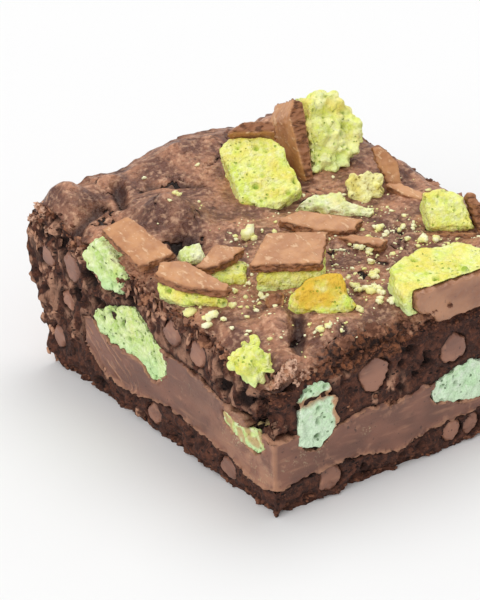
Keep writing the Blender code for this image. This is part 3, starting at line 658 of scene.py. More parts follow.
def makeLayer():
    piece = copyOfNodes("chocolateLayer", ["milk_chocolate_layer"])
    applyModifier(piece, "REMESH", mode="VOXEL", voxel_size=layer["voxel"] * mm)
    applyModifier(piece, "SMOOTH", factor=0.5, iterations=2)

    def move(point, normal):
        outer, wall, outward = max(
            (leftWall - point.x, "left", Vector((-1.0, 0.0, 0.0))),
            (point.x - rightWall, "right", Vector((1.0, 0.0, 0.0))),
            (frontWall - point.y, "front", Vector((0.0, -1.0, 0.0))), key=lambda choice: choice[0])
        outer += 1.0
        lip = 0.0
        along = point.x if wall == "front" else point.y
        spots = [math.hypot(along - spotAlong, point.z - height) / radius
                 for spotWall, spotAlong, height, radius in layer["powder"] if spotWall == wall]
        line = min(lineDistance(point.y, point.z, start, end) for start, end in layer["ridgeLines"])
        masks = {
            "tanned": smooth(0.5 - (point.y - layer["tannedFrom"]) / 30.0) if wall == "left" else 0.0,
            "powdered": smooth(1.2 - min(spots, default=2.0)),
            "ridges": line,
            "ridged": smooth(1.3 - line / layer["ridgeReach"]) if wall == "left" else 0.0}
        if outer > -layer["shownDepth"]:
            shown = smooth((outer + layer["shownDepth"]) / 2.0)
            turned = smooth(abs(normal.z) * 1.6) * shown
            drag = noise.noise(Vector((point.x / 8.0, point.y / 8.0, point.z / 1.3 + point.y / 14.0)))
            wave = noise.noise(Vector((point.x / 9.0, point.y / 9.0, point.z / 4.0)))
            broken = smooth(0.5 + 2.0 * noise.noise(Vector((point.x / 1.7, point.y / 1.7, 3.0 * normal.z))))
            lip = turned * broken
            out = max(outward.dot(normal), turned)
            corner = math.hypot(point.x - leftWall, point.y - frontWall)
            knife = smooth(1.3 - corner / 0.7)
            relief = layer["smear"] * drag + layer["wave"] * wave
            point += outward * out * (shown * relief + layer["lip"] * lip)
            lip = max(lip, 0.7 * knife)
            edge = noise.noise(Vector((point.x / 2.4, point.y / 2.4, 0.0))) + 0.6 * noise.noise(point / 0.9)
            point.z += (layer["ragged"] * edge + layer["swelling"]) * normal.z * shown
        return point, {"lip": lip, **masks}

    return reshape(piece, move)


def chocolateFinish(name, look):
    finish = Finish(name)
    drag = finish.stretched((0.2, 0.2, 1.0))
    broad = finish.step(finish.grain(6.0, 3.0, finish.stretched((0.6, 0.6, 1.0))), 0.35, 0.65)
    colour = finish.blend(broad, look["shade"], look["milk"])
    streak = finish.step(finish.grain(1.6, 5.0, drag), 0.55, 0.75)
    colour = finish.blend(streak * 0.45, colour, look["smear"])
    patch = finish.step(finish.grain(2.6, 4.0), 0.6, 0.72)
    colour = finish.blend(patch * 0.35, colour, look["smear"])
    dots = finish.step(finish.grain(0.9, 2.0), 0.67, 0.73)
    colour = finish.blend(dots * 0.7, colour, look["crumb"])
    lip = finish.attribute("lip")
    colour = finish.blend(lip * 0.85, colour, look["smear"])
    tanned = finish.attribute("tanned") * finish.step(finish.grain(3.0, 4.0), 0.35, 0.6)
    colour = finish.blend(tanned * 0.5, colour, look["smear"])
    powder = finish.attribute("powdered") * finish.step(finish.grain(0.35, 2.0), 0.52, 0.68)
    powder = powder * finish.step(finish.grain(2.0, 2.0), 0.4, 0.6)
    colour = finish.blend(powder * 0.5, colour, look["powder"])
    wandering = finish.attribute("ridges") + finish.grain(2.5, 2.0) * 1.4
    swing = finish.node("ShaderNodeMath", {"operation": "SINE"}, {0: wandering * 3.7})
    ridge = finish.step(swing, 0.0, 1.0) * finish.attribute("ridged")
    ridge = ridge * finish.step(finish.grain(3.5, 3.0), 0.36, 0.56)
    # the knife ridges get the lighter smear colour on their crests: painted highlight over the ridge bump
    colour = finish.blend(ridge * 0.7, colour, look["smear"])
    height = finish.grain(1.2, 5.0, drag) + finish.grain(0.4, 4.0) * (0.2 + lip * 1.5) + ridge * 1.6
    roughness = 0.38 + streak * 0.14 + broad * 0.06 + lip * 0.3
    return finish.finish(colour, roughness, height, 0.16, Specular_IOR_Level=0.5)


def chocolateFinishes():
    milk = {
        "milk": tint(134, 89, 71), "shade": tint(108, 70, 56), "smear": tint(188, 138, 108),
        "crumb": tint(58, 36, 31), "powder": tint(206, 196, 154)}
    return {
        "layer": chocolateFinish("milk chocolate cut", milk),
        "chip": chocolateFinish(
            "chocolate chip cut", dict(milk, milk=tint(158, 110, 88), shade=tint(124, 84, 68))),
        "tile": chocolateFinish("cut tile", dict(
            milk, milk=tint(184, 134, 102), shade=tint(150, 104, 80), crumb=tint(128, 88, 68))),
    }


# Chocolate chips in the cut faces

chips = {
    "smoothing": 2,
    "proud": 0.12,
    "uneven": 0.1,
    "outline": 0.7,
    "swelling": 0.3,
}


def makeChips(nodes):
    piece = copyOfNodes("chocolateChips", nodes)
    applyModifier(piece, "SUBSURF", levels=chips["smoothing"], render_levels=chips["smoothing"])

    def move(point, normal):
        outline = noise.noise(point / 2.1) + 0.6 * noise.noise(point / 0.9)
        point += normal * (chips["swelling"] + chips["outline"] * outline)
        limit = chips["proud"] + chips["uneven"] * noise.noise(point / 1.4)
        point.x = min(max(point.x, leftWall - limit), rightWall + limit)
        point.y = max(point.y, frontWall - limit)
        return point, {}

    return reshape(piece, move)


# Mint pieces: broken, aerated and toasted here and there

mint = {
    "voxel": 0.27,
    "lump": 0.35,
    "bubble": 0.5,
    "grit": 0.22,
    # how deep the pores sink; they are painted darker as shade too
    "pore": 1.0,
    "proud": 0.25,  # how far the cut filling may stand out of the wall
    "character": {  # lumpiness and size of the jags, where they aren't the usual
        "back_tile_mint": (1.0, 1.9), "crumbly_mint": (1.1, 1.2), "corner_star_mint": (0.8, 2.0),
        "wedge_mint": (0.7, 0.7), "left_tile_mint": (1.0, 0.5), "filling_mint_left": (0.9, 0.4),
        "filling_mint_corner": (0.9, 0.4), "filling_mint_front": (0.6, 0.3), "filling_mint_far": (0.6, 0.2),
        "filling_mint_side": (0.6, 0.3), "filling_mint_end": (0.6, 0.2)},
    "swelling": 0.25,
    "usual": (0.6, 0.25),
    "outline": 0.7,
    "rim": ((-22.6, 24.0), (-21.6, 20.0), (-21.0, 13.0)),  # chocolate rim of the front filling: x, z
    "parting": (21.8, 0.7, 0.9),  # crumb that parts its top from the rest: level, width, depth
    "holes": (  # node, along, height, radius
        ("filling_mint_left", 12.4, 20.8, 1.3), ("filling_mint_left", 8.6, 20.2, 0.8)),
    "holeDepth": 1.3,
    "tones": {  # the others are fresh on the crust and cool in the cut faces
        "back_tile_mint": "bright", "toasted_mint": "toasted", "crumbly_mint": "crumbly",
        "wedge_mint": "pale", "small_mint": "pale", "left_tile_mint": "green",
        "filling_mint_left": "green", "filling_mint_corner": "green"},
    "calmAbove": (46.0, 4.0),  # the jags get lower over this height
}


def mintRelief(point, seed, rough, jag):  # clumped sugar with open pores, and jags where it broke
    shifted = point + Vector((seed * 13.0, seed * 7.0, 0.0))
    lumps = noise.noise(shifted / 3.0) * mint["lump"] + noise.noise(shifted / 0.8) * mint["grit"]
    bubbles = noise.voronoi(shifted / 1.5 + Vector((4.0, 4.0, 4.0)))[0]
    lumps += (0.42 - bubbles[0]) * mint["bubble"]
    spikes = noise.voronoi(shifted / 2.7 + Vector((1.0, 9.0, 4.0)))[0]
    lumps = lumps * rough + jag * ((0.42 - spikes[0]) * 1.7 + 0.5 * noise.noise(shifted / 1.3))
    large = noise.voronoi(shifted / 3.1)[0]
    small = noise.voronoi(shifted / 1.3 + Vector((8.0, 2.0, 5.0)))[0]
    # pores and pricks are sunk and also painted darker as shade
    pore = smooth(1.2 - large[0] / 0.26) * smooth(noise.noise(shifted / 4.0) * 3.0 + 0.5)
    prick = smooth(1.2 - small[0] / 0.26) * smooth(noise.noise(shifted / 2.2) * 3.0 + 0.1)
    pore = max(pore, 0.7 * prick)
    # the last value marks crevices between bubbles, for painted shade
    return lumps - mint["pore"] * pore, pore, smooth((bubbles[0] - 0.55) / 0.3) * rough


def makeMint(node, seed):
    piece = copyOfNodes(plainName(node), [node])
    applyModifier(piece, "REMESH", mode="VOXEL", voxel_size=mint["voxel"] * mm)
    rough, jag = mint["character"].get(node, mint["usual"])
    heights = readPoints(piece)[:, 2] / mm
    low, high = float(heights.min()), float(heights.max())
    rimX, rimZ = zip(*mint["rim"][::-1])
    calmFrom, calmSpan = mint["calmAbove"]

    def move(point, normal):
        rise = (point.z - low) / (high - low)
        calmer = jag * (1.0 - 0.6 * smooth((point.z - calmFrom) / calmSpan))
        shift, pore, creviceShade = mintRelief(point, seed, rough, calmer)
        rim = 0.0
        if node.startswith("filling_mint"):
            point.x = min(max(point.x, leftWall - mint["proud"]), rightWall + mint["proud"])
            point.y = max(point.y, frontWall - mint["proud"])
            onRight = abs(point.x) > rightWall - 2.0
            inPlane = Vector((0.0, normal.y, normal.z)) if onRight else Vector((normal.x, 0.0, normal.z))
            point += inPlane * (mint["swelling"] + mint["outline"] * noise.noise(point / 1.5))
        for holed, along, height, radius in mint["holes"]:
            if holed == node:
                away = math.hypot(point.y - along, point.z - height) / radius
                hole = smooth(1.4 - away - 0.5 * noise.noise(point / 0.8))
                shift -= mint["holeDepth"] * hole
                # the holes take the painted shade of the pores
                pore = max(pore, hole)
        if node == "filling_mint_front":
            line = float(np.interp(point.z, rimZ, rimX))
            rim = smooth(0.5 + (point.x - line + 0.8 * noise.noise(point / 1.2)) / 0.7)
            level, width, depth = mint["parting"]
            parted = abs(point.z - level + 1.2 * noise.noise(point / 1.8))
            parting = smooth(1.6 - parted / width)
            rim = max(rim, parting)
            shift -= depth * parting
        if node == "filling_mint_corner":
            rim = 0.75 * smooth(0.5 + 2.2 * noise.noise(point / 1.6))
        # pores, holes and bubble crevices go out as one mask of painted shade
        return point + normal * shift, {"pore": min(pore * 1.2 + creviceShade * 0.35, 1.0), "rise": rise, "rim": rim}

    return reshape(piece, move)


def mintFinish(name, look):
    finish = Finish(name)
    rise = finish.attribute("rise") + finish.grain(3.0, 3.0) * 0.5 - 0.25
    broad = finish.step(finish.grain(3.5, 5.0), 0.3, 0.66)
    colour = finish.blend(broad, look["shade"], look["body"])
    pale = finish.step(finish.grain(0.9, 6.0), 0.4, 0.82)
    colour = finish.blend(pale * 0.8, colour, look["pale"])
    colour = finish.blend((1.0 - finish.step(rise, 0.1, 0.5)) * look["lowDepth"], colour, look["low"])
    browned = finish.grain(4.0, 4.0) + (rise - 0.5) * look["topToast"]
    toast = finish.step(browned, 0.5 - look["toasting"], 0.8 - look["toasting"])
    colour = finish.blend(toast * look["toastDepth"], colour, look["toast"])
    pore = finish.attribute("pore")
    prick = finish.step(0.23 - finish.cells(1.2), 0.0, 0.07) * finish.step(finish.grain(2.5, 2.0), 0.5, 0.58)
    # painted shade in the pores and in the small pricks
    colour = finish.blend(pore * 0.8, colour, look["pore"])
    colour = finish.blend(prick * 0.75, colour, look["pore"])
    rim = finish.attribute("rim")
    colour = finish.blend(rim * 0.9, colour, look["rim"])
    height = finish.grain(0.5, 6.0) + finish.cells(0.5) * 0.4 + finish.cells(1.0) * 0.5 - prick * 0.8
    return finish.finish(colour, 0.85, height, 0.42, Specular_IOR_Level=0.2)


def mintFinishes():
    fresh = {
        "body": tint(250, 251, 150), "shade": tint(224, 240, 106), "pale": tint(255, 255, 214),
        # the pore colour, here and in the tones below, is painted shade in the pits
        "low": tint(226, 248, 184), "toast": tint(248, 224, 92), "pore": tint(150, 184, 56),
        "rim": tint(196, 138, 104), "lowDepth": 0.75, "toasting": 0.05, "topToast": 0.2, "toastDepth": 0.6}
    tones = {
        "fresh": {},
        "bright": {"body": tint(255, 255, 178), "shade": tint(238, 246, 128), "toasting": 0.0},
        "toasted": {
            "body": tint(238, 242, 120), "shade": tint(204, 228, 92), "low": tint(212, 236, 120),
            "toast": tint(236, 190, 66), "toasting": 0.12, "topToast": 0.5, "toastDepth": 0.95},
        "crumbly": {
            "body": tint(255, 250, 184), "shade": tint(248, 240, 134), "low": tint(204, 164, 98),
            "pore": tint(176, 148, 70), "lowDepth": 0.85, "toasting": 0.0},
        "pale": {
            "body": tint(251, 253, 200), "shade": tint(228, 242, 146), "pale": tint(255, 255, 232),
            "low": tint(236, 250, 206), "toasting": 0.0},
        "green": {
            "body": tint(232, 246, 176), "shade": tint(196, 226, 128), "pale": tint(250, 254, 222),
            "low": tint(206, 240, 180), "pore": tint(100, 136, 52), "toasting": 0.0, "toastDepth": 0.2},
        "cool": {
            "body": tint(224, 248, 214), "shade": tint(198, 236, 184), "pale": tint(246, 254, 238),
            "low": tint(222, 246, 212), "pore": tint(66, 102, 48), "toasting": 0.0, "toastDepth": 0.05},
    }
    return {name: mintFinish("mint " + name, dict(fresh, **changes)) for name, changes in tones.items()}


# Chocolate coats broken off with the mint

coat = {
    "voxel": 0.25,
    "wave": 0.15,
    "chipped": 0.13,
    "torn": 0.6,
}


def makeCoat(node):
    piece = copyOfNodes(plainName(node), [node])
    widest = max(piece.data.polygons, key=lambda face: face.area).normal.copy()
    applyModifier(piece, "REMESH", mode="VOXEL", voxel_size=coat["voxel"] * mm)
    applyModifier(piece, "SMOOTH", factor=0.3, iterations=1)

    def move(point, normal):
        side = smooth(1.3 - abs(normal.dot(widest)) * 1.6)
        relief = coat["wave"] * noise.noise(point / 2.6) + coat["chipped"] * noise.noise(point / 0.8)
        torn = noise.noise(Vector((point.x / 1.1, point.y / 1.1, point.z / 0.6 + 5.0)))
        relief += coat["torn"] * side * torn
        notch = noise.voronoi(point / 2.4)[0]
        relief -= coat["torn"] * side * smooth(1.0 - notch[0] / 0.35)
        return point + normal * relief, {"torn": side}

    return reshape(piece, move)


def coatFinish():
    look = {
        "body": tint(206, 150, 104),
        "shade": tint(176, 119, 80),
        "scuff": tint(246, 208, 168),
        "edge": tint(148, 95, 63),
        "dent": tint(88, 53, 36),
    }
    finish = Finish("chocolate coat")
    broad = finish.step(finish.grain(4.0, 4.0), 0.38, 0.62)
    colour = finish.blend(broad * 0.7, look["body"], look["shade"])
    scuff = finish.step(finish.grain(0.9, 6.0, finish.stretched((1.0, 0.4, 1.0))), 0.56, 0.66)
    colour = finish.blend(scuff * 0.55, colour, look["scuff"])
    bloom = finish.step(0.2 - finish.cells(0.9), 0.0, 0.08) * finish.step(finish.grain(2.4, 2.0), 0.52, 0.6)
    colour = finish.blend(bloom * 0.5, colour, look["scuff"])
    torn = finish.attribute("torn")
    colour = finish.blend(torn * 0.8, colour, look["edge"])
    layered = finish.step(finish.grain(0.8, 5.0, finish.stretched((0.5, 0.5, 1.4))), 0.5, 0.64)
    colour = finish.blend(layered * torn * 0.7, colour, look["dent"])
    height = finish.grain(1.2, 6.0) * 0.6 + scuff * 0.3 + (layered + finish.grain(0.45, 4.0)) * torn
    return finish.finish(colour, 0.44 + scuff * 0.25 + torn * 0.15, height, 0.22, Specular_IOR_Level=0.45)


# Loose crumbs on the crust and torn grains on the cuts

crumbs = {
    "seen": (  # x, y and radius of the ones that stand out
        (-10.0, 2.0, 1.6), (-27.5, -16.0, 1.2), (-18.5, -13.5, 1.0), (-16.5, -15.5, 0.8),
        (-20.0, -17.5, 1.0), (-20.5, -20.0, 1.0), (-33.0, -17.5, 1.2), (-33.5, -12.5, 1.1),
        (-20.0, -34.0, 0.9), (-18.5, -35.0, 0.7), (-9.5, -32.0, 0.8), (-4.5, -24.5, 0.9),
        (-4.5, -26.5, 0.9), (-4.0, -28.0, 1.0), (-2.0, -28.0, 0.9), (-2.5, -30.0, 0.9),
        (-4.5, -32.0, 0.9), (-3.0, -34.0, 0.9), (0.5, -23.5, 1.0), (1.5, -23.0, 0.9),
        (3.0, -20.0, 0.9), (6.5, -15.5, 1.0), (4.5, -14.0, 1.1), (7.5, -13.0, 1.0), (3.5, -12.0, 0.9),
        (12.5, -10.0, 1.0), (12.0, -13.0, 0.8), (15.5, -13.5, 0.8), (18.5, -13.5, 0.7),
        (13.5, -17.5, 0.7), (16.5, -19.5, 1.2), (19.0, -20.0, 0.9), (-31.0, -19.5, 0.7),
        (-23.5, -12.5, 0.7), (-19.5, -11.5, 0.7), (-17.5, -17.0, 0.6), (14.0, -20.5, 0.6),
        (-12.5, 2.5, 0.6), (1.5, -12.5, 0.6), (-27.0, -21.0, 0.6), (-31.5, -23.0, 0.6),
        (-29.5, -25.5, 0.6), (18.0, -29.0, 0.6), (-14.5, -35.0, 0.5), (20.0, -23.5, 0.5),
        (-6.5, 2.0, 0.5), (-0.5, -1.5, 0.5), (-2.5, 3.0, 0.5), (6.5, -17.5, 0.5), (-22.5, -18.5, 0.5),
        (-21.0, -14.5, 0.5), (-16.5, -36.5, 0.5), (-16.0, 17.0, 0.7), (-19.0, 15.0, 0.5),
        (-13.0, 33.0, 0.6)),
    "seed": 11,
    "small": 540,
    "swelling": 1.2,
    "centre": (1.0, -17.0),
    "spread": (19.0, 14.0),
    "largest": 0.6,
    "smallest": 0.16,
    "parts": 5,  # of a clump
    "clumpFrom": 0.65,  # smallest radius of a clump
    "margin": 1.5,
    "backMargin": 3.0,
    "droppedFrom": 70.0,
    "look": ("mint crumb", tint(253, 250, 208), tint(244, 240, 160), tint(255, 255, 230)),
}
grains = {  # loose grains on the cut faces
    "seed": 5,
    "bands": (  # name, count, low and high level, smallest and largest radius
        ("torn", 420, 0.5, 33.0, 0.2, 0.6), ("edge", 1100, -3.0, 0.4, 0.2, 0.65),
        ("foot", 620, 0.1, 1.4, 0.25, 0.7)),
    "thrownFrom": 60.0,
    "deepest": 3.5,  # below the plain face
    "looks": {
        "torn": ("torn crumb", tint(58, 36, 31), tint(106, 68, 54), tint(150, 104, 82)),
        "foot": ("foot crumb", tint(74, 45, 36), tint(132, 86, 64), tint(150, 104, 82)),
        "edge": ("crust crumb", tint(74, 45, 34), tint(126, 80, 58), tint(150, 104, 82))},
}
flakes = {  # x, y, z and radius of broken crust at the cut edges
    "places": (
        (-30.8, -39.4, 30.2, 2.3), (-28.6, -39.8, 27.8, 2.0), (-32.8, -38.8, 27.6, 2.0),
        (-34.6, -36.4, 25.8, 2.0), (-18.0, -39.8, 32.4, 2.6), (-12.5, -39.8, 32.2, 2.2),
        (-34.4, 0.5, 29.4, 2.2), (-34.6, 25.5, 31.0, 2.2), (-34.6, -19.0, 28.2, 2.0),
        (-34.6, -27.0, 27.5, 2.0), (23.0, -39.6, 31.0, 2.2), (34.6, 20.0, 33.0, 2.2),
        (34.6, -6.0, 31.6, 2.1), (-4.5, -40.0, 31.0, 1.5), (0.5, -40.1, 31.2, 1.3),
        (5.0, -40.0, 31.3, 1.5), (-34.8, 8.5, 29.8, 1.6), (-34.6, 37.4, 34.4, 2.2),
        (-34.8, 38.6, 32.0, 1.9), (-34.6, 36.8, 30.2, 1.5), (-17.3, -39.3, 17.8, 1.3),
        (-12.7, -39.3, 18.0, 1.5), (-8.5, -39.4, 15.4, 1.3)),
    "palest": ((-31.0, -39.4), (-34.6, 37.6)),
    "paleReach": 4.0,
    "parts": 5,
    "seed": 7,
    "voxel": 0.32,
    "look": ("crust flake", tint(112, 72, 54), tint(176, 124, 94), tint(224, 182, 156)),
}
scales = {  # thin torn flakes lying against the left cut
    "seed": 23,
    "bands": (  # count, first and last place along, low and high level, longest
        (46, -0.5, 0.97, 2.0, 33.0, 2.2), (46, 0.9, 0.995, 1.0, 34.0, 1.8),
        (40, -0.15, 0.62, 24.5, 30.5, 2.2)),
    "shortest": 0.8,
    "look": ("torn flake", tint(88, 56, 44), tint(196, 148, 120), tint(200, 156, 130)),
}
lump = {  # the shape that every crumb, grain and flake starts from
    "uneven": 0.25,
    "seed": 3,
    "swell": 0.5,
}


def makeBits(name, bits, level):  # joined lumps: each is a centre, three radii, a turn and a seed
    bpy.ops.object.select_all(action="DESELECT")
    bpy.ops.mesh.primitive_ico_sphere_add(subdivisions=level, radius=1.0)
    ball = bpy.context.object
    bpy.ops.object.mode_set(mode="EDIT")
    bpy.ops.mesh.select_all(action="SELECT")
    bpy.ops.transform.vertex_random(offset=lump["uneven"], seed=lump["seed"])
    bpy.ops.object.mode_set(mode="OBJECT")
    shape = readPoints(ball)
    faces = [tuple(face.vertices) for face in ball.data.polygons]
    bpy.data.objects.remove(ball)
    points = []
    polygons = []
    for centre, radii, turn, seed in bits:
        start = len(points)
        for place in shape:
            spot = Vector(place) * 1.2 + Vector((seed, seed * 0.7, 0.0))
            swell = 1.0 + lump["swell"] * noise.noise(spot)
            local = Vector([part * radius * swell for part, radius in zip(place, radii)])
            points.append((turn @ local + centre) * mm)
        polygons.extend(tuple(start + index for index in face) for face in faces)
    mesh = bpy.data.meshes.new(name)
    mesh.from_pydata(points, [], polygons)
    piece = bpy.data.objects.new(name, mesh)
    scene.collection.objects.link(piece)
    return piece


def randomTurn(draw):
    return Matrix.Rotation(draw.uniform(0.0, 6.28), 3, "Z") @ Matrix.Rotation(draw.uniform(-0.7, 0.7), 3, "X")


def randomRadii(draw, size, *ranges):
    return [size * draw.uniform(low, high) for low, high in ranges]


def crumbPlace(cakeTree, toppingTree, x, y):  # the crust under a place, where nothing covers it
    above = Vector((x, y, crumbs["droppedFrom"]))
    ground, cover = [tree.ray_cast(above, Vector((0.0, 0.0, -1.0)))[0] for tree in (cakeTree, toppingTree)]
    return None if ground is None or (cover is not None and cover.z > ground.z) else ground


def makeCrumbs(cakeTree, toppingTree):
    draw = random.Random(crumbs["seed"])
    bits = []
    for x, y, radius in crumbs["seen"]:  # each is a clump of a few lumps
        for part in range(crumbs["parts"] if radius > crumbs["clumpFrom"] else 2):
            offset = radius * (0.75 if part else 0.0)
            ground = crumbPlace(
                cakeTree, toppingTree, x + draw.uniform(-offset, offset), y + draw.uniform(-offset, offset))
            if ground is None:
                continue
            size = radius * crumbs["swelling"] * draw.uniform(0.4, 0.75)
            radii = randomRadii(draw, size, (0.9, 1.5), (0.6, 1.0), (0.6, 0.9))
            lift = Vector((0.0, 0.0, size * draw.uniform(0.3, 0.9)))
            bits.append((ground + lift, radii, randomTurn(draw), part + x))
    count = len(bits) + crumbs["small"]
    while len(bits) < count:
        x = draw.gauss(crumbs["centre"][0], crumbs["spread"][0])
        y = draw.gauss(crumbs["centre"][1], crumbs["spread"][1])
        size = mix(crumbs["smallest"], crumbs["largest"], draw.random() ** 3)
        turn = randomTurn(draw)
        cutGap = min(x - leftWall, rightWall - x, y - frontWall)
        if cutGap < crumbs["margin"] or backWall - y < crumbs["backMargin"]:
            continue
        ground = crumbPlace(cakeTree, toppingTree, x, y)
        if ground is None or noise.noise(Vector((x / 5.0, y / 5.0, 2.0))) < draw.uniform(-0.4, 0.2):
            continue
        radii = randomRadii(draw, size, (0.8, 1.5), (0.6, 1.0), (0.4, 0.7))
        bits.append((ground + Vector((0.0, 0.0, radii[2] * 0.3)), radii, turn, len(bits) * 1.7))
    return makeBits("mintCrumbs", bits, 1)


def wallHit(cakeTree, coverTree, wall, along, height):  # a bare point, not in a deep hollow
    start = wall * grains["thrownFrom"] + Vector((0.0, 0.0, height))
    start += Vector((wall.y, -wall.x, 0.0)) * along * (backWall if wall.x else rightWall)
    hit = cakeTree.ray_cast(start, -wall)[0]
    reach = grains["thrownFrom"] - (rightWall if wall.x else backWall) + grains["deepest"]
    if hit is None or (hit - start).length > reach:
        return None
    cover = coverTree.ray_cast(start, -wall)[0]
    return None if cover is not None and (cover - start).length < (hit - start).length else hit


def makeGrains(cakeTree, coverTree, kind):
    draw = random.Random(grains["seed"])
    bits = []
    name, count, low, high, smallest, largest = next(band for band in grains["bands"] if band[0] == kind)
    walls = (Vector((-1.0, 0.0, 0.0)), Vector((0.0, -1.0, 0.0)), Vector((1.0, 0.0, 0.0)))
    for index in range(count):
        wall = walls[min(int(draw.random() * 3.4), 3) % 3]
        along = draw.uniform(-0.985, 0.985)
        height = draw.uniform(low, high)
        size = mix(smallest, largest, draw.random() ** 3)
        turn = randomTurn(draw)
        if name == "edge":
            inward = Vector((wall.y, -wall.x, 0.0)) * along * (backWall if wall.x else rightWall)
            edge = inward + wall * (rightWall if wall.x else backWall)
            height += crustHeight(edge.x, edge.y)
        hit = wallHit(cakeTree, coverTree, wall, along, height)
        if hit is None:
            continue
        radii = randomRadii(draw, size, (0.7, 1.2), (0.7, 1.2), (0.5, 0.8))
        bits.append((Vector((hit.x, hit.y, max(hit.z, radii[0] * 0.8))), radii, turn, index * 0.9))
    return makeBits(name + "Grains", bits, 1)


def makeScales(cakeTree, coverTree):
    draw = random.Random(scales["seed"])
    bits = []
    wall = Vector((-1.0, 0.0, 0.0))
    for count, first, last, low, high, longest in scales["bands"]:
        for index in range(count):
            along = draw.uniform(first, last)
            height = draw.uniform(low, high)
            long = mix(scales["shortest"], longest, draw.random() ** 1.6)
            lean, swing = draw.uniform(-0.7, 0.7), draw.uniform(-0.9, 0.9)
            tilt = Matrix.Rotation(lean, 3, "X") @ Matrix.Rotation(swing, 3, "Z")
            hit = wallHit(cakeTree, coverTree, wall, along, height)
            if hit is not None:
                radii = (draw.uniform(0.2, 0.35), long * draw.uniform(0.35, 0.6), long)
                bits.append((hit, radii, tilt, len(bits) * 1.3))
    return makeBits("tornScales", bits, 2)


def makeFlakes():
    bits = []
    draw = random.Random(flakes["seed"])
    for x, y, z, radius in flakes["places"]:
        for part in range(flakes["parts"]):
            offset = Vector([draw.uniform(-reach, reach) for reach in (1, 1, 0.6)]) * radius * 0.7
            size = radius * draw.uniform(0.45, 0.7)
            radii = (size, size * 0.9, size * 0.6)
            bits.append((Vector((x, y, z)) + offset, radii, randomTurn(draw), part * 2.1 + x))
    piece = makeBits("crustFlakes", bits, 2)
    applyModifier(piece, "REMESH", mode="VOXEL", voxel_size=flakes["voxel"] * mm)

    def move(point, normal):
        near = noise.voronoi(point / 1.1)[0]
        relief = 0.45 * noise.noise(point / 0.9) - 0.55 * smooth(1.0 - (near[1] - near[0]) / 0.3)
        away = min(math.hypot(point.x - x, point.y - y) for x, y in flakes["palest"])
        return point + normal * relief, {"paler": smooth(1.5 - away / flakes["paleReach"])}

    return reshape(piece, move)


def bitFinish(name, first, second, third):  # the third colour only where the piece has pale places
    finish = Finish(name)
    colour = finish.blend(finish.step(finish.grain(2.0, 3.0), 0.4, 0.62), first, second)
    pale = finish.attribute("paler") * finish.step(finish.grain(0.8, 4.0), 0.4, 0.6)
    colour = finish.blend(pale, colour, third)
    return finish.finish(colour, 0.85, finish.grain(0.4, 4.0), 0.15, Specular_IOR_Level=0.3)


# Floor, light and camera

studio = {
    "size": 8.0,  # of the floor, metres
    "floor": tint(240, 240, 240),
    "suns": (  # two wide soft lights: turn, spread and strength
        ((17.0, -47.0, 0.0), 50.0, 1.2), ((-16.0, 24.0, 0.0), 40.0, 0.9)),
    "sky": 0.64,
}
lens = {
    "azimuth": -34.82,
    "elevation": 27.21,
    "roll": -1.71,
    "distance": 503.8,
    "target": (-5.8, 11.26, 15.0),
    "focal": 151.24,
    "sensor": 36.0,
    "nearest": 0.01,  # metres
}


def makeStudio():
    bpy.ops.object.select_all(action="DESELECT")
    bpy.ops.mesh.primitive_plane_add(size=studio["size"])
    floor = bpy.context.object
    floor.name = "floor"
    finish = Finish("studio floor")
    floor.data.materials.append(
        finish.finish(studio["floor"], 0.9, finish.grain(30.0), 0.01, Specular_IOR_Level=0.1))
    for turn, spread, strength in studio["suns"]:
        bpy.ops.object.light_add(type="SUN", rotation=[math.radians(angle) for angle in turn])
        lamp = bpy.context.object
        lamp.name = "softLight"
        lamp.data.energy = strength
        lamp.data.angle = math.radians(spread)
    world = bpy.data.worlds.new("studio")
    world.use_nodes = True
    world.node_tree.nodes["Background"].inputs["Color"].default_value = (1.0, 1.0, 1.0, 1.0)
    world.node_tree.nodes["Background"].inputs["Strength"].default_value = studio["sky"]
    scene.world = world
    scene.view_settings.view_transform = "Standard"


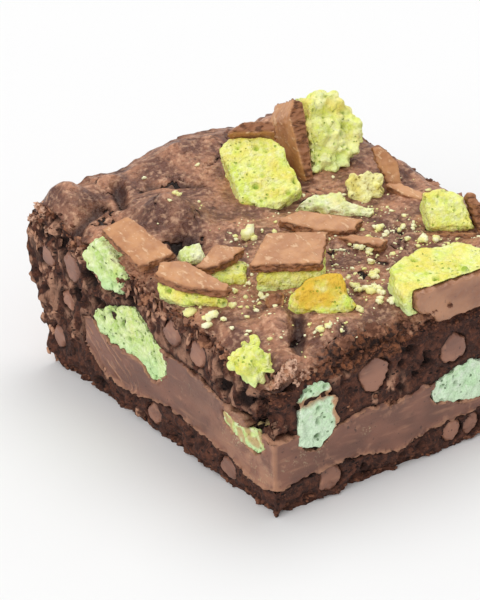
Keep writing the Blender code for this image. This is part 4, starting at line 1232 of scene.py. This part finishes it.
def makeCamera():
    azimuth = math.radians(lens["azimuth"])
    elevation = math.radians(lens["elevation"])
    level = math.cos(elevation)
    back = Vector((math.sin(azimuth) * level, -math.cos(azimuth) * level, math.sin(elevation)))
    data = bpy.data.cameras.new("camera")
    data.lens = lens["focal"]
    data.sensor_width = lens["sensor"]
    data.clip_start = lens["nearest"]
    camera = bpy.data.objects.new("camera", data)
    aim = (-back).to_track_quat("-Z", "Y").to_matrix()
    camera.matrix_world = Matrix.Translation((Vector(lens["target"]) + back * lens["distance"]) * mm) @ (
        aim @ Matrix.Rotation(math.radians(lens["roll"]), 3, "Z")).to_4x4()
    scene.collection.objects.link(camera)
    scene.camera = camera


def main():
    print("studio")
    makeStudio()
    makeCamera()
    names = sorted(cadNodes)
    chipNodes = [name for name in names if name.startswith("chip_")]
    fillingNodes = [name for name in names if name.startswith("filling_mint")]
    mintNodes = [name for name in names if name.endswith("_mint")]
    coatNodes = [name for name in names if name not in chipNodes + fillingNodes + mintNodes
                 and name not in ("brownie", "milk_chocolate_layer")]
    toppingNodes = mintNodes + coatNodes
    flushNodes = chipNodes + fillingNodes + ["milk_chocolate_layer"]
    wallNodes = flushNodes + ["left_tile_mint", "edge_tile_coat", "edge_tile_mint"]

    print("cake block")
    block = makeCake([cadNodes[name] for name in wallNodes], [cadNodes[name] for name in flushNodes])
    finishPiece(block, cakeFinish(), ["brownie"])

    print("chocolate layer and chips")
    chocolate = chocolateFinishes()
    finishPiece(makeLayer(), chocolate["layer"], ["milk_chocolate_layer"])
    finishPiece(makeChips(chipNodes), chocolate["chip"], chipNodes)

    print("mint pieces")
    finishes = mintFinishes()
    for seed, node in enumerate(mintNodes + fillingNodes):
        filling = node in fillingNodes
        tone = mint["tones"].get(node, "cool" if filling else "fresh")
        finishPiece(makeMint(node, seed), finishes[tone], [node])

    print("chocolate coats")
    shell = coatFinish()
    for node in coatNodes:
        finishPiece(makeCoat(node), chocolate["tile"] if node == "edge_tile_coat" else shell, [node])

    print("crumbs, grains and flakes")
    cakeTree = treeOf([block])
    toppingTree = treeOf([cadNodes[name] for name in toppingNodes])
    coverTree = treeOf([cadNodes[name] for name in wallNodes])
    finishPiece(makeCrumbs(cakeTree, toppingTree), bitFinish(*crumbs["look"]))
    for kind, look in grains["looks"].items():
        finishPiece(makeGrains(cakeTree, coverTree, kind), bitFinish(*look))
    finishPiece(makeScales(cakeTree, coverTree), bitFinish(*scales["look"]))
    finishPiece(makeFlakes(), bitFinish(*flakes["look"]))


main()
